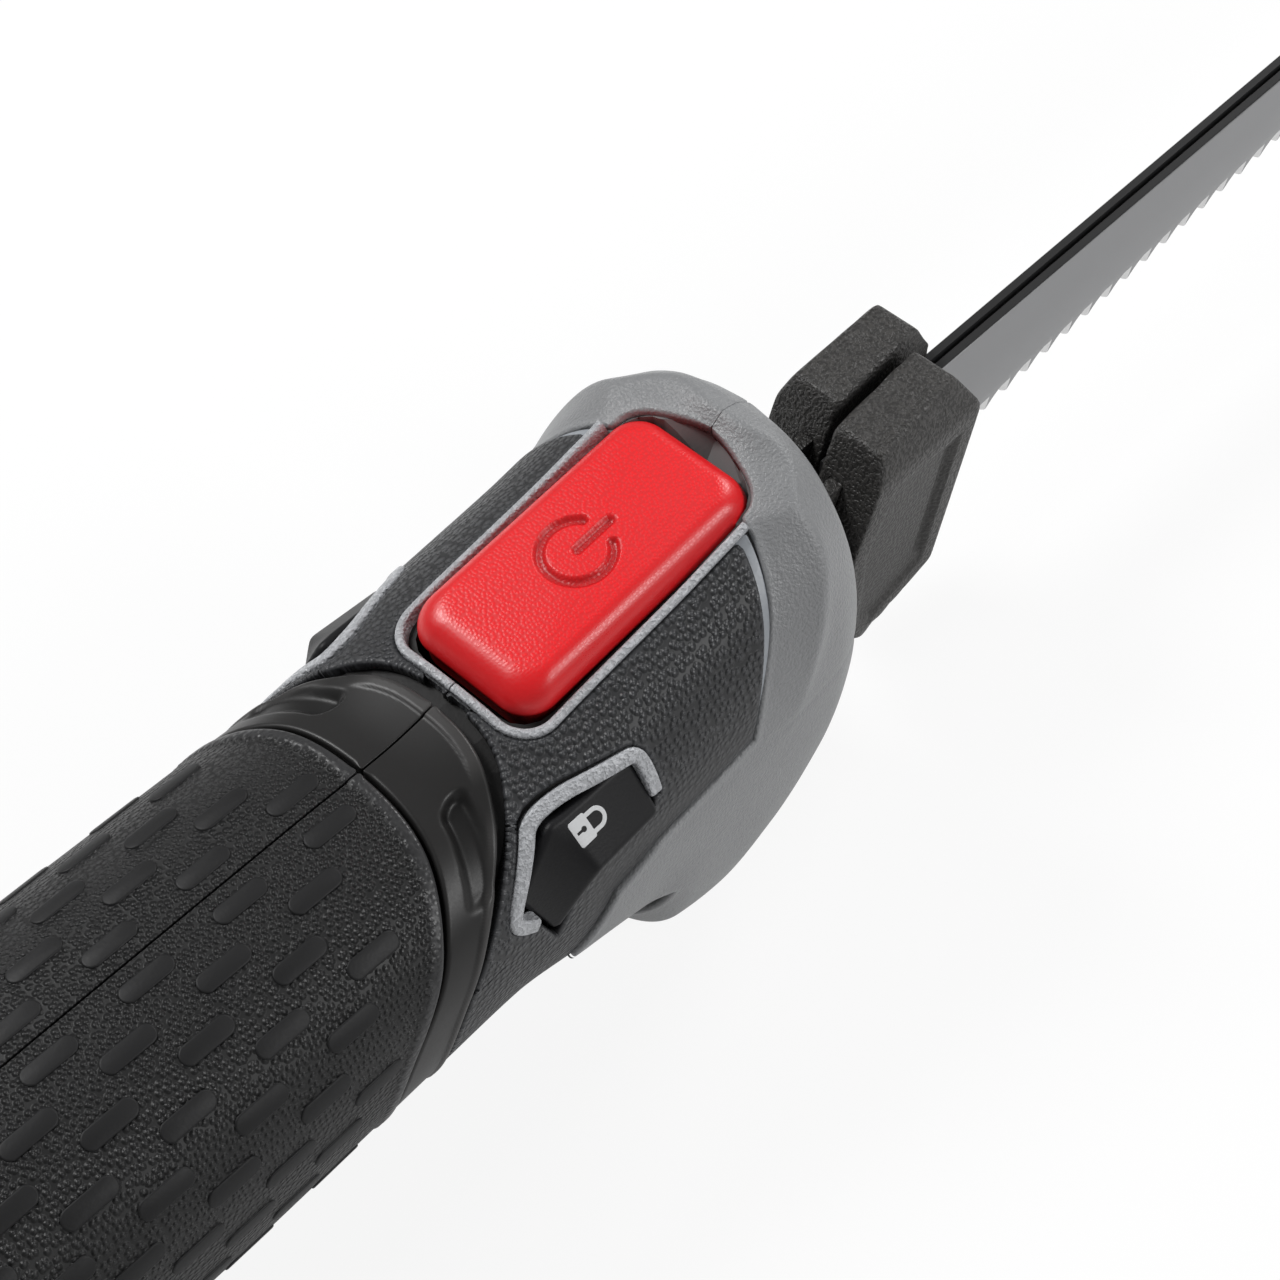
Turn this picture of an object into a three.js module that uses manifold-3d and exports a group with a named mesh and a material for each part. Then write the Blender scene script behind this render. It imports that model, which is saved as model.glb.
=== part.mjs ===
// Cordless electric fillet knife: a two-shell handle with moulded covers, a thumb trigger, a cross-bar
// trigger lock, a worm drive, two toothed blades that slide past each other and a slide-in battery.

import * as THREE from 'three';
import { mergeVertices } from 'three/addons/utils/BufferGeometryUtils.js';
import Module from 'manifold-3d';

const wasm = await Module();
wasm.setup();

// Working frame: X forward along the blades, Y to the left, Z up, all in millimetres.
// Its origin is on the handle's axis, below the front edge of the collar.
const LEFT = 1;
const RIGHT = -1;

// Clearances
const COVER_GAP = 0.3;
const SEAT_GAP = 0.15;
const RUNNING_GAP = 0.08;
const MOVING_GAP = 0.6;

// Handle: main sizes
const COLLAR_TOP = 30.4;
const COLLAR_HALF_WIDTH = 25.6;
const COLLAR_PROUD = 0.8;
const GUARD_BOTTOM = -48.5;
const GUARD_HALF_WIDTH = 26.6;
const GRIP_TOP = 19.6;
const GRIP_BOTTOM = -31.4;
const GRIP_HALF_WIDTH = 26.5;
const HANDLE_FRONT = 1;
const HANDLE_REAR = -196;
const REST_PLANE = -46;
const COVER_THICKNESS = 1.6;

// Handle loft: place along X, top, bottom, half width, the roundness of the upper and lower halves,
// and the number of rings from this station to the next
const HANDLE_STATIONS = [
  { x: HANDLE_FRONT, top: 28.4, bottom: -25, half: 19.6, upper: 2.3, lower: 2.2, rings: 1 },
  { x: -2, top: 30.2, bottom: -32, half: 23.4, upper: 2.5, lower: 2.3, rings: 1 },
  { x: -8.5, top: COLLAR_TOP, bottom: -40, half: COLLAR_HALF_WIDTH, upper: 2.7, lower: 2.5, rings: 2 },
  { x: -18, top: 28.2, bottom: -46, half: 26.4, upper: 2.7, lower: 2.8, rings: 2 },
  { x: -28, top: 26, bottom: GUARD_BOTTOM, half: GUARD_HALF_WIDTH, upper: 2.6, lower: 3, rings: 2 },
  { x: -37, top: 24.4, bottom: -47, half: 26.6, upper: 2.6, lower: 2.9, rings: 2 },
  { x: -46, top: 22.8, bottom: -36, half: 26.6, upper: 2.6, lower: 2.4, rings: 2 },
  { x: -58, top: 20.4, bottom: -32.8, half: 26.2, upper: 2.5, lower: 2.3, rings: 2 },
  { x: -70, top: 19, bottom: -31.5, half: 25.4, upper: 2.3, lower: 2.2, rings: 1 },
  { x: -85, top: 19.4, bottom: -31, half: 25.8, upper: 2.3, lower: 2.2, rings: 2 },
  { x: -125, top: GRIP_TOP, bottom: GRIP_BOTTOM, half: GRIP_HALF_WIDTH, upper: 2.3, lower: 2.2, rings: 2 },
  { x: -170, top: 18.8, bottom: -30.4, half: 25.6, upper: 2.3, lower: 2.2, rings: 1 },
  { x: HANDLE_REAR, top: GRIP_TOP, bottom: -32, half: 26.4, upper: 2.3, lower: 2.2, rings: 1 },
];
const SECTION_POINTS = 28;

// Cover outlines, seen from the side: X and Z of points along each edge
const HEAD_SWEEP = [[-56.8, 22], [-59.6, 20], [-65.4, 15.6], [-76, 5.7], [-83.6, -9], [-85.5, -36]];
const GRIP_SWEEP = [[-72.6, 21], [-74.6, 17.6], [-81.8, 9.6], [-92.6, -7], [-95.4, -36]];
const HEAD_COVER_FRONT = [[-12.6, 32], [-19.2, 19.2], [-22.8, 12], [-26.4, 2.4]];
const BAND_TOP = [[-45.8, -0.8], [-54, -4.6]];
const BAND_TIP = [-60.8, -17.4];
const BAND_BOTTOM = [-41.5, -20.6];
const GUARD_REAR = [-46, -34];

// Air scoops in the neck band
const SCOOP_X = -69.6;
const SCOOP_Y = 15.6;
const SCOOP_Z = 16.2;
const SCOOP_LENGTH = 8;
const SCOOP_WIDTH = 5;
const SCOOP_DEPTH = 1.2;
const SCOOP_TURN = THREE.MathUtils.degToRad(-38);
const SCOOP_LEAN = THREE.MathUtils.degToRad(36);

// Trigger: a paddle hinged at its front, in a raised rim
const TRIGGER_LENGTH = 46;
const TRIGGER_WIDTH = 23.6;
const TRIGGER_HEIGHT = 9;
const TRIGGER_EDGE_WIDTH = 3.6;
const TRIGGER_EDGE_DROP = 4.6;
const TRIGGER_REAR_REACH = 1.4;
const TRIGGER_CORNER = 5;
const TRIGGER_FRONT_X = -9.6;
const TRIGGER_TOP_Z = 27.4;
const TRIGGER_SLOPE = THREE.MathUtils.degToRad(6.6);
const TRIGGER_TRAVEL = THREE.MathUtils.degToRad(4.5);
const TRIGGER_GAP = 0.7;
const TRIGGER_PIN_SETBACK = 5;
const TRIGGER_PIN_Z = 23;
const TRIGGER_PIN_RADIUS = 1.5;
const TRIGGER_PIN_LENGTH = 29;
const RIM_WIDTH = 1.5;
const RIM_CORNER = 6;
const POCKET_REACH = 4.8;
const POCKET_FLOOR_REACH = 2;
const POCKET_HALF_WIDTH = 12;
const POCKET_FLOOR_Z = 23.5;

// Switch and trigger spring under the trigger
const SWITCH_LENGTH = 20;
const SWITCH_WIDTH = 7;
const SWITCH_HEIGHT = 8.5;
const SWITCH_FRONT_X = -19;
const SWITCH_BASE_Z = 6.6;
const PLUNGER_SIDE = 2.6;
const PLUNGER_X = -33;
const PLUNGER_FOOT_Z = 9.6;
const PLUNGER_TRAVEL = 2.2;
const SPRING_SETBACK = 35;
const SPRING_RADIUS = 2.6;
const SPRING_WIRE = 0.5;
const SPRING_TURNS = 5;
const SPRING_SEAT_Z = 7.5;

// Trigger lock: a cross bar with a bent button on each end
const LOCK_BAR_LENGTH = 8;
const LOCK_BAR_HEIGHT = 5;
const LOCK_BAR_SETBACK = 43.4;
const LOCK_BAR_Z = 10;
const LOCK_BAR_HALF_WIDTH = 17.5;
const LOCK_TRAVEL = 1.5;
const LOCK_EDGE_Y = 27.8;
const LOCK_CREST_Y = 20.4;
const LOCK_CREST_Z = 15.4;
const LOCK_LEG_TOP = 14.8;
const LOCK_LEG_BOTTOM = 7.4;
const LOCK_FRONT_X = -46.2;
const LOCK_BEND_TOP_X = -61.4;
const LOCK_BEND_BOTTOM_X = -58.6;
const LOCK_REAR_X = -68.8;
const LOCK_REAR_Z = 6.6;
const LOCK_TAIL_X = -64.4;
const LOCK_TAIL_Z = -3.8;
const LOCK_RIM = 1.9;

// Motor and worm drive
const MOTOR_AXIS_Z = -2;
const MOTOR_RADIUS = 13;
const MOTOR_FRONT_X = -64;
const MOTOR_LENGTH = 40;
const MOTOR_BOSS_RADIUS = 4;
const MOTOR_BOSS_LENGTH = 3;
const MOTOR_WALL = 2;
const ARMATURE_LENGTH = 28;
const WIRE_WAY_RADIUS = 5;
const SHAFT_RADIUS = 1.6;
const SHAFT_FRONT_X = -19;
const BUSH_RADIUS = 4;
const BUSH_LENGTH = 5;
const WORM_PITCH_RADIUS = 4;
const WORM_DEPTH = 1.8;
const WORM_LENGTH = 20;
const WHEEL_TEETH = 20;
const WHEEL_MODULE = 1.2;
const WHEEL_ADDENDUM = 0.9;
const WHEEL_TOOTH_ROOT = 0.44;
const WHEEL_TOOTH_TIP = 0.16;
const WHEEL_WIDTH = 6;
const WHEEL_X = -36;
const AXLE_RADIUS = 2;
const AXLE_HALF_LENGTH = 11;

// Crank and drive rods
const CRANK_THROW = 1.9;
const ECCENTRIC_RADIUS = 6;
const ROD_THICKNESS = 2.4;
const ROD_ARM_TOP = -8.2;
const ROD_ARM_BOTTOM = -15;
const ROD_POST_TOP = 2.4;
const ROD_POST_BOTTOM = -11;
const ROD_POST_REAR_X = -15.5;
const ROD_FRONT_X = 30;
const YOKE_WALL = 3;
const YOKE_PLAY = 0.55;

// Front recess and the plate that closes it
const RECESS_DEPTH = 7;
const RECESS_HALF_WIDTH = 14.5;
const RECESS_TOP = 19;
const RECESS_BOTTOM = -20;
const NOSE_PLATE_THICKNESS = 3;

// Blade hubs, seen from the side at mid stroke
const HUB_INNER_Y = 1.2;
const HUB_OUTER_Y = 12;
const HUB_TOP_OUTER_Y = 9.6;
const HUB_TOP_REAR_X = 21.7;
const HUB_TOP_REAR_Z = 9.8;
const HUB_TOP_FRONT_X = 39.6;
const HUB_TOP_FRONT_Z = 12.5;
const HUB_NOSE_X = 44;
const HUB_NOSE_Z = 5.2;
const HUB_FOOT_FRONT_X = 36;
const HUB_FOOT_FRONT_Z = -25;
const HUB_FOOT_REAR_X = 19;
const HUB_FOOT_REAR_Z = -30;
const HUB_BACK_X = 14.6;
const HUB_BACK_TOP_Z = -9;
const HUB_BACK_BOTTOM_Z = -26;
const HUB_CHAMFER_DROP = 6;
const HUB_PANEL_INSET = 4;
const HUB_PANEL_DEPTH = 0.6;

// Blades, seen from the side at mid stroke
const BLADE_THICKNESS = 1.6;
const BLADE_INNER_Y = 0.35;
const BLADE_TANG_X = 20;
const BLADE_SPINE_Z = 2.9;
const BLADE_HEEL_X = 46;
const BLADE_HEEL_Z = -18.4;
const BLADE_TIP_X = 230.1;
const BLADE_TIP_Z = -11;
const BLADE_BELLY_X = 170;
const TOOTH_PITCH = 5.5;
const TOOTH_DEPTH = 1.5;
const TOOTH_STEEP_SHARE = 0.12;
const BLADE_TIP_CURVE = 20;
const RIVET_X = 206;
const RIVET_Z = -6;
const RIVET_RADIUS = 1.4;
const RIVET_HEAD_RADIUS = 2.6;
const RIVET_HEAD_THICKNESS = 0.7;

// Battery pack
const PACK_FRONT_X = -114;
const PACK_HALF_WIDTH = 18.5;
const PACK_TOP = 12;
const PACK_BOTTOM = -24;
const PACK_CORNER = 7;
const FOOT_REAR_X = -222;
const FOOT_HALF_WIDTH = 27.4;
const FOOT_TOP = 21;
const FOOT_EDGE = 4;
const FOOT_FLARE = 8;
const FOOT_TRIM = 2.5;
const FOOT_RING_STEP = 5.2;
const LATCH_LENGTH = 12;
const LATCH_HEIGHT = 16;
const LATCH_X = -209;
const LATCH_Z = -8;
const LATCH_DEPTH = 6;
const LATCH_PROUD = 1.0;
const LATCH_TRAVEL = 2;
const TERMINAL_LENGTH = 5;
const CONTACT_COUNT = 3;
const CONTACT_SPACING = 7;
const CONTACT_LENGTH = 8;
const CONTACT_THICKNESS = 1;
const CONTACT_HEIGHT = 6;

// Sizes that follow from the ones above
const TRIGGER_RUN = TRIGGER_LENGTH * Math.cos(TRIGGER_SLOPE);
const TRIGGER_MIDDLE_X = TRIGGER_FRONT_X - TRIGGER_RUN / 2;
const TRIGGER_REAR_X = TRIGGER_FRONT_X - TRIGGER_RUN;
const TRIGGER_PIN_X = TRIGGER_FRONT_X - TRIGGER_PIN_SETBACK;
const SPRING_X = TRIGGER_FRONT_X - SPRING_SETBACK;
const RIM_REAR_X = TRIGGER_REAR_X - TRIGGER_GAP - RIM_WIDTH;
const LOCK_BAR_X = TRIGGER_FRONT_X - LOCK_BAR_SETBACK;
const RECESS_IN_SHELL = COVER_THICKNESS + COVER_GAP;
const WHEEL_PITCH_RADIUS = WHEEL_TEETH * WHEEL_MODULE / 2;
const WORM_PITCH = Math.PI * WHEEL_MODULE;
const WHEEL_AXIS_Z = MOTOR_AXIS_Z - WORM_PITCH_RADIUS - WHEEL_PITCH_RADIUS;
const ROD_INNER_Y = WHEEL_WIDTH / 2 + COVER_GAP;
const ROD_OUTER_Y = ROD_INNER_Y + ROD_THICKNESS;
const STROKE = 2 * CRANK_THROW;
const BLADE_OUTER_Y = BLADE_INNER_Y + BLADE_THICKNESS;

// Materials
function finish(color, roughness, metalness) {
  return new THREE.MeshStandardMaterial({ color, roughness, metalness });
}

const FINISHES = {
  greyPlastic: () => finish(0x8b8d90, 0.45, 0),
  charcoalRubber: () => finish(0x3a3b3f, 0.75, 0),
  blackRubber: () => finish(0x17171a, 0.7, 0),
  blackPlastic: () => finish(0x1c1c1e, 0.55, 0),
  redPlastic: () => finish(0xd8141d, 0.35, 0),
  steel: () => finish(0x9a9b9d, 0.3, 1),
  nylon: () => finish(0xd9d4c4, 0.6, 0),
  brass: () => finish(0xb8923f, 0.35, 1),
};

// Solids: geometry in, joined and cut solids out
function solidOf(geometry) {
  const bare = geometry.clone();
  bare.deleteAttribute('normal');
  bare.deleteAttribute('uv');
  const merged = mergeVertices(bare, 1e-5);
  return new wasm.Manifold(new wasm.Mesh({
    numProp: 3,
    vertProperties: new Float32Array(merged.attributes.position.array),
    triVerts: new Uint32Array(merged.index.array),
  }));
}

function geometryOf(solid) {
  const mesh = solid.getMesh();
  const geometry = new THREE.BufferGeometry();
  geometry.setAttribute('position', new THREE.BufferAttribute(new Float32Array(mesh.vertProperties), 3));
  geometry.setIndex(new THREE.BufferAttribute(new Uint32Array(mesh.triVerts), 1));
  geometry.computeVertexNormals();
  return geometry;
}

function joined(first, ...others) {
  return others.reduce((total, next) => total.add(next), first);
}

function cut(first, ...tools) {
  return tools.reduce((total, tool) => total.subtract(tool), first);
}

function box(x, y, z) {
  const geometry = new THREE.BoxGeometry(x[1] - x[0], y[1] - y[0], z[1] - z[0]);
  geometry.translate((x[0] + x[1]) / 2, (y[0] + y[1]) / 2, (z[0] + z[1]) / 2);
  return solidOf(geometry);
}

// A prism of an outline given in X and Z, between two places on Y
function prismAlongY(shape, yA, yB, curveSegments = 6) {
  const low = Math.min(yA, yB);
  const high = Math.max(yA, yB);
  const settings = { depth: high - low, bevelEnabled: false, curveSegments };
  const geometry = new THREE.ExtrudeGeometry(shape, settings);
  geometry.rotateX(Math.PI / 2);
  geometry.translate(0, high, 0);
  return solidOf(geometry);
}

// A prism of an outline given in Y and Z, between two places on X
function prismAlongX(shape, xA, xB, curveSegments = 3) {
  const geometry = new THREE.ExtrudeGeometry(shape, { depth: xB - xA, bevelEnabled: false, curveSegments });
  const turn = new THREE.Matrix4().makeBasis(
    new THREE.Vector3(0, 1, 0),
    new THREE.Vector3(0, 0, 1),
    new THREE.Vector3(1, 0, 0),
  );
  geometry.applyMatrix4(turn);
  geometry.translate(xA, 0, 0);
  return solidOf(geometry);
}

function rodAlongX(radius, xA, xB, z, sides = 24) {
  const geometry = new THREE.CylinderGeometry(radius, radius, xB - xA, sides);
  geometry.rotateZ(-Math.PI / 2);
  geometry.translate((xA + xB) / 2, 0, z);
  return solidOf(geometry);
}

function rodAlongY(radius, yA, yB, x, z, sides = 24) {
  const geometry = new THREE.CylinderGeometry(radius, radius, Math.abs(yB - yA), sides);
  geometry.translate(x, (yA + yB) / 2, z);
  return solidOf(geometry);
}

function outline(points) {
  return new THREE.Shape(points.map(([a, b]) => new THREE.Vector2(a, b)));
}

function roundedRectangle(aMin, aMax, bMin, bMax, radius) {
  const shape = new THREE.Shape();
  shape.moveTo(aMin + radius, bMin);
  shape.lineTo(aMax - radius, bMin);
  shape.absarc(aMax - radius, bMin + radius, radius, -Math.PI / 2, 0, false);
  shape.lineTo(aMax, bMax - radius);
  shape.absarc(aMax - radius, bMax - radius, radius, 0, Math.PI / 2, false);
  shape.lineTo(aMin + radius, bMax);
  shape.absarc(aMin + radius, bMax - radius, radius, Math.PI / 2, Math.PI, false);
  shape.lineTo(aMin, bMin + radius);
  shape.absarc(aMin + radius, bMin + radius, radius, Math.PI, 1.5 * Math.PI, false);
  return shape;
}

// Handle surface: each size runs smoothly through the stations without overshoot
function smoothThrough(places, values) {
  const count = places.length;
  const slopes = [];
  for (let i = 0; i < count - 1; i += 1) {
    slopes.push((values[i + 1] - values[i]) / (places[i + 1] - places[i]));
  }
  const tangents = [slopes[0]];
  for (let i = 1; i < count - 1; i += 1) {
    const before = slopes[i - 1];
    const after = slopes[i];
    tangents.push(before * after <= 0 ? 0 : 2 * before * after / (before + after));
  }
  tangents.push(slopes[count - 2]);
  return (place) => {
    let i = 0;
    while (i < count - 2 && place > places[i + 1]) {
      i += 1;
    }
    const width = places[i + 1] - places[i];
    const t = THREE.MathUtils.clamp((place - places[i]) / width, 0, 1);
    const rise = values[i + 1] - values[i];
    const bend = tangents[i] * width * t * (1 - t) ** 2 - tangents[i + 1] * width * t * t * (1 - t);
    return values[i] + rise * t * t * (3 - 2 * t) + bend;
  };
}

function sectionSizes(stations) {
  const ordered = [...stations].sort((a, b) => a.x - b.x);
  const places = ordered.map((station) => station.x);
  const sizes = {};
  for (const key of ['top', 'bottom', 'half', 'upper', 'lower']) {
    sizes[key] = smoothThrough(places, ordered.map((station) => station[key]));
  }
  return sizes;
}

// One closed ring of the handle: a superellipse whose upper and lower halves differ
function sectionRing(sizes, x, inset) {
  const ring = [];
  for (let i = 0; i < SECTION_POINTS; i += 1) {
    const angle = 2 * Math.PI * i / SECTION_POINTS;
    const across = Math.abs(Math.cos(angle)) < 1e-9 ? 0 : Math.cos(angle);
    const rise = Math.abs(Math.sin(angle)) < 1e-9 ? 0 : Math.sin(angle);
    const power = 2 / (rise >= 0 ? sizes.upper(x) : sizes.lower(x));
    const height = (rise >= 0 ? sizes.top(x) : -sizes.bottom(x)) - inset;
    const half = sizes.half(x) - inset;
    ring.push([
      Math.sign(across) * half * Math.abs(across) ** power,
      Math.sign(rise) * height * Math.abs(rise) ** power,
    ]);
  }
  return ring;
}

// A closed solid over a row of rings, each a list of the same number of points
function skinOver(rings) {
  const count = rings[0].length;
  const index = [];
  for (let row = 0; row < rings.length - 1; row += 1) {
    for (let i = 0; i < count; i += 1) {
      const a = row * count + i;
      const b = row * count + (i + 1) % count;
      index.push(a, b, b + count);
      index.push(a, b + count, a + count);
    }
  }
  const last = (rings.length - 1) * count;
  for (let i = 1; i < count - 1; i += 1) {
    index.push(0, i + 1, i);
    index.push(last, last + i, last + i + 1);
  }
  const geometry = new THREE.BufferGeometry();
  geometry.setAttribute('position', new THREE.Float32BufferAttribute(rings.flat(2), 3));
  geometry.setIndex(index);
  return geometry;
}

function loft(sizes, places, inset) {
  const rings = places.map((x) => sectionRing(sizes, x, inset).map(([y, z]) => [x, y, z]));
  return solidOf(skinOver(rings));
}

function spacedPlaces(from, to, step) {
  const count = Math.max(1, Math.round(Math.abs(to - from) / step));
  return Array.from({ length: count + 1 }, (_, i) => from + (to - from) * i / count);
}

const handleSizes = sectionSizes(HANDLE_STATIONS);
const handlePlaces = HANDLE_STATIONS.slice(0, -1).flatMap((station, i) => {
  const next = HANDLE_STATIONS[i + 1].x;
  return Array.from({ length: station.rings }, (_, k) => station.x + (next - station.x) * k / station.rings);
});
handlePlaces.push(HANDLE_REAR);
handlePlaces.reverse();

function handleSkin(inset) {
  return loft(handleSizes, handlePlaces, inset);
}

const FAR = 400;
const HALF_WIDE = 60;
const SWEEP_STEPS = 2;
const leftSpace = box([-FAR, FAR], [0, FAR], [-FAR, FAR]);
const rightSpace = box([-FAR, FAR], [-FAR, 0], [-FAR, FAR]);

function sideOf(solid, side) {
  return solid.intersect(side === LEFT ? leftSpace : rightSpace);
}

function vectors(points) {
  return points.map(([a, b]) => new THREE.Vector2(a, b));
}

function shifted(points, by) {
  return points.map(([a, b]) => [a + by, b]);
}

// The head cover runs behind the collar, round the band that sweeps back from it, to the neck
function headCoverShape(gap) {
  const shape = new THREE.Shape();
  const front = shifted(HEAD_COVER_FRONT, -gap);
  const sweep = shifted(HEAD_SWEEP, gap);
  shape.moveTo(front[0][0], FAR / 4);
  shape.lineTo(...front[0]);
  shape.splineThru(vectors(front.slice(1)));
  for (const [x, z] of BAND_TOP) {
    shape.lineTo(x, z + gap);
  }
  shape.lineTo(BAND_TIP[0] - gap, BAND_TIP[1]);
  shape.lineTo(BAND_BOTTOM[0] - gap, BAND_BOTTOM[1] - gap);
  shape.lineTo(GUARD_REAR[0] - gap, GUARD_REAR[1]);
  shape.lineTo(GUARD_REAR[0] - gap, -FAR / 4);
  shape.lineTo(sweep[sweep.length - 1][0], -FAR / 4);
  shape.lineTo(...sweep[sweep.length - 1]);
  shape.splineThru(vectors(sweep.slice(0, -1).reverse()));
  shape.lineTo(sweep[0][0], FAR / 4);
  return shape;
}

// The neck band lies between two sweeps
function neckBandShape(frontSweep, rearSweep) {
  const shape = new THREE.Shape();
  shape.moveTo(frontSweep[0][0], FAR / 4);
  shape.lineTo(...frontSweep[0]);
  shape.splineThru(vectors(frontSweep.slice(1)));
  shape.lineTo(frontSweep[frontSweep.length - 1][0], -FAR / 4);
  shape.lineTo(rearSweep[rearSweep.length - 1][0], -FAR / 4);
  shape.lineTo(...rearSweep[rearSweep.length - 1]);
  shape.splineThru(vectors(rearSweep.slice(0, -1).reverse()));
  shape.lineTo(rearSweep[0][0], FAR / 4);
  return shape;
}

// The grip cover runs from its front sweep to the end of the handle
function gripCoverShape(by) {
  const sweep = shifted(GRIP_SWEEP, by);
  const shape = new THREE.Shape();
  shape.moveTo(sweep[0][0], FAR / 4);
  shape.lineTo(...sweep[0]);
  shape.splineThru(vectors(sweep.slice(1)));
  shape.lineTo(sweep[sweep.length - 1][0], -FAR / 4);
  shape.lineTo(HANDLE_REAR - COVER_GAP, -FAR / 4);
  shape.lineTo(HANDLE_REAR - COVER_GAP, FAR / 4);
  return shape;
}


function coverPrism(shape) {
  return prismAlongY(shape, -HALF_WIDE, HALF_WIDE, SWEEP_STEPS);
}

// Trigger outline and its raised rim, drawn in the trigger's own sloping plane
function inTriggerFrame(geometry) {
  geometry.rotateY(-TRIGGER_SLOPE);
  geometry.translate(TRIGGER_MIDDLE_X, 0, TRIGGER_TOP_Z);
  return geometry;
}

// One level of the trigger: a rectangle with arcs at its corners
const TRIGGER_CORNER_STEPS = 4;
function triggerRing(inset, height) {
  const radius = TRIGGER_CORNER - inset / 2;
  const rear = -TRIGGER_LENGTH / 2 + Math.max(inset, inset * TRIGGER_REAR_REACH) + radius;
  const front = TRIGGER_LENGTH / 2 - inset - radius;
  const half = TRIGGER_WIDTH / 2 - inset - radius;
  const middles = [[front, half], [rear, half], [rear, -half], [front, -half]];
  return middles.flatMap(([x, y], corner) => Array.from({ length: TRIGGER_CORNER_STEPS + 1 }, (_, i) => {
    const angle = Math.PI / 2 * (corner + i / TRIGGER_CORNER_STEPS);
    return [x + radius * Math.cos(angle), y + radius * Math.sin(angle), height];
  }));
}

function triggerBlock(grow, depth, rise) {
  const rings = [triggerRing(-grow, -depth), triggerRing(-grow, rise)];
  return solidOf(inTriggerFrame(skinOver(rings)));
}

// The paddle's upper edge is a quarter of an ellipse, drawn out longer at the rear
const TRIGGER_EDGE_STEPS = 4;
function triggerPaddle() {
  const rings = [triggerRing(0, -TRIGGER_HEIGHT)];
  for (let step = 0; step <= TRIGGER_EDGE_STEPS; step += 1) {
    const angle = Math.PI / 2 * step / TRIGGER_EDGE_STEPS;
    const inset = TRIGGER_EDGE_WIDTH * (1 - Math.cos(angle));
    rings.push(triggerRing(inset, -TRIGGER_EDGE_DROP * (1 - Math.sin(angle))));
  }
  return solidOf(inTriggerFrame(skinOver(rings)));
}

function triggerUndersideAt(x) {
  const along = (x - TRIGGER_MIDDLE_X) / Math.cos(TRIGGER_SLOPE);
  return TRIGGER_TOP_Z + along * Math.sin(TRIGGER_SLOPE) - TRIGGER_HEIGHT / Math.cos(TRIGGER_SLOPE);
}

function rimBlock(grow) {
  const half = TRIGGER_WIDTH / 2 + TRIGGER_GAP + RIM_WIDTH + grow;
  const shape = roundedRectangle(RIM_REAR_X - grow, FAR / 4, -half, half, RIM_CORNER);
  const settings = { depth: FAR / 4, bevelEnabled: false, curveSegments: 5 };
  return solidOf(new THREE.ExtrudeGeometry(shape, settings));
}

// Lock button outline: a level leg and a leg that bends down to the rear
function lockButtonShape(grow) {
  return outline([
    [LOCK_FRONT_X + grow, LOCK_LEG_BOTTOM - grow],
    [LOCK_FRONT_X + grow, LOCK_LEG_TOP + grow],
    [LOCK_BEND_TOP_X - 0.4 * grow, LOCK_LEG_TOP + grow],
    [LOCK_REAR_X - 1.2 * grow, LOCK_REAR_Z + 0.3 * grow],
    [LOCK_TAIL_X - 0.4 * grow, LOCK_TAIL_Z - 1.3 * grow],
    [LOCK_BEND_BOTTOM_X + 0.3 * grow, LOCK_LEG_BOTTOM - grow],
  ]);
}

// The light rim follows the button along its top and rear only
function lockRimShape(grow) {
  const wide = LOCK_RIM + grow;
  return outline([
    [LOCK_FRONT_X + wide, LOCK_LEG_BOTTOM + 3 - grow],
    [LOCK_FRONT_X + wide, LOCK_LEG_TOP + 0.4 * wide],
    [LOCK_FRONT_X + 0.4 * wide, LOCK_LEG_TOP + wide],
    [LOCK_BEND_TOP_X - 0.5 * wide, LOCK_LEG_TOP + wide],
    [LOCK_REAR_X - wide, LOCK_REAR_Z + 0.8 * wide],
    [LOCK_REAR_X - wide, LOCK_REAR_Z - 0.8 * wide],
    [LOCK_TAIL_X - 1.2 * wide, LOCK_TAIL_Z],
    [LOCK_TAIL_X, LOCK_TAIL_Z],
    [LOCK_BEND_BOTTOM_X, LOCK_LEG_BOTTOM + 3 - grow],
  ]);
}

// Shells and covers
const outerSkin = handleSkin(0);
const coverBack = handleSkin(COVER_THICKNESS);
const shellFace = handleSkin(RECESS_IN_SHELL);

const lockHole = coverPrism(lockButtonShape(COVER_GAP + SEAT_GAP));
const lockRim = coverPrism(lockRimShape(0));
const lockRimHole = coverPrism(lockRimShape(COVER_GAP));

function coverPieces(shape) {
  const layer = cut(outerSkin, coverBack).intersect(coverPrism(shape));
  return cut(layer, rimBlock(COVER_GAP), lockRimHole, lockHole);
}

function neckScoop(side) {
  const geometry = new THREE.SphereGeometry(1, 12, 8);
  geometry.scale(SCOOP_LENGTH / 2, SCOOP_WIDTH / 2, SCOOP_DEPTH);
  geometry.rotateZ(side * SCOOP_TURN);
  geometry.rotateX(-side * SCOOP_LEAN);
  geometry.translate(SCOOP_X, side * SCOOP_Y, SCOOP_Z);
  return solidOf(geometry);
}

const neckShape = neckBandShape(shifted(HEAD_SWEEP, -COVER_GAP), shifted(GRIP_SWEEP, COVER_GAP));
const headCover = coverPieces(headCoverShape(COVER_GAP));
const neckBand = cut(coverPieces(neckShape), neckScoop(LEFT), neckScoop(RIGHT));
const gripCover = coverPieces(gripCoverShape(-COVER_GAP));

// What the two shells give room to
function recessOutline(grow) {
  return roundedRectangle(
    -RECESS_HALF_WIDTH - grow,
    RECESS_HALF_WIDTH + grow,
    RECESS_BOTTOM - grow,
    RECESS_TOP + grow,
    RECESS_HALF_WIDTH * 0.8,
  );
}

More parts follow.
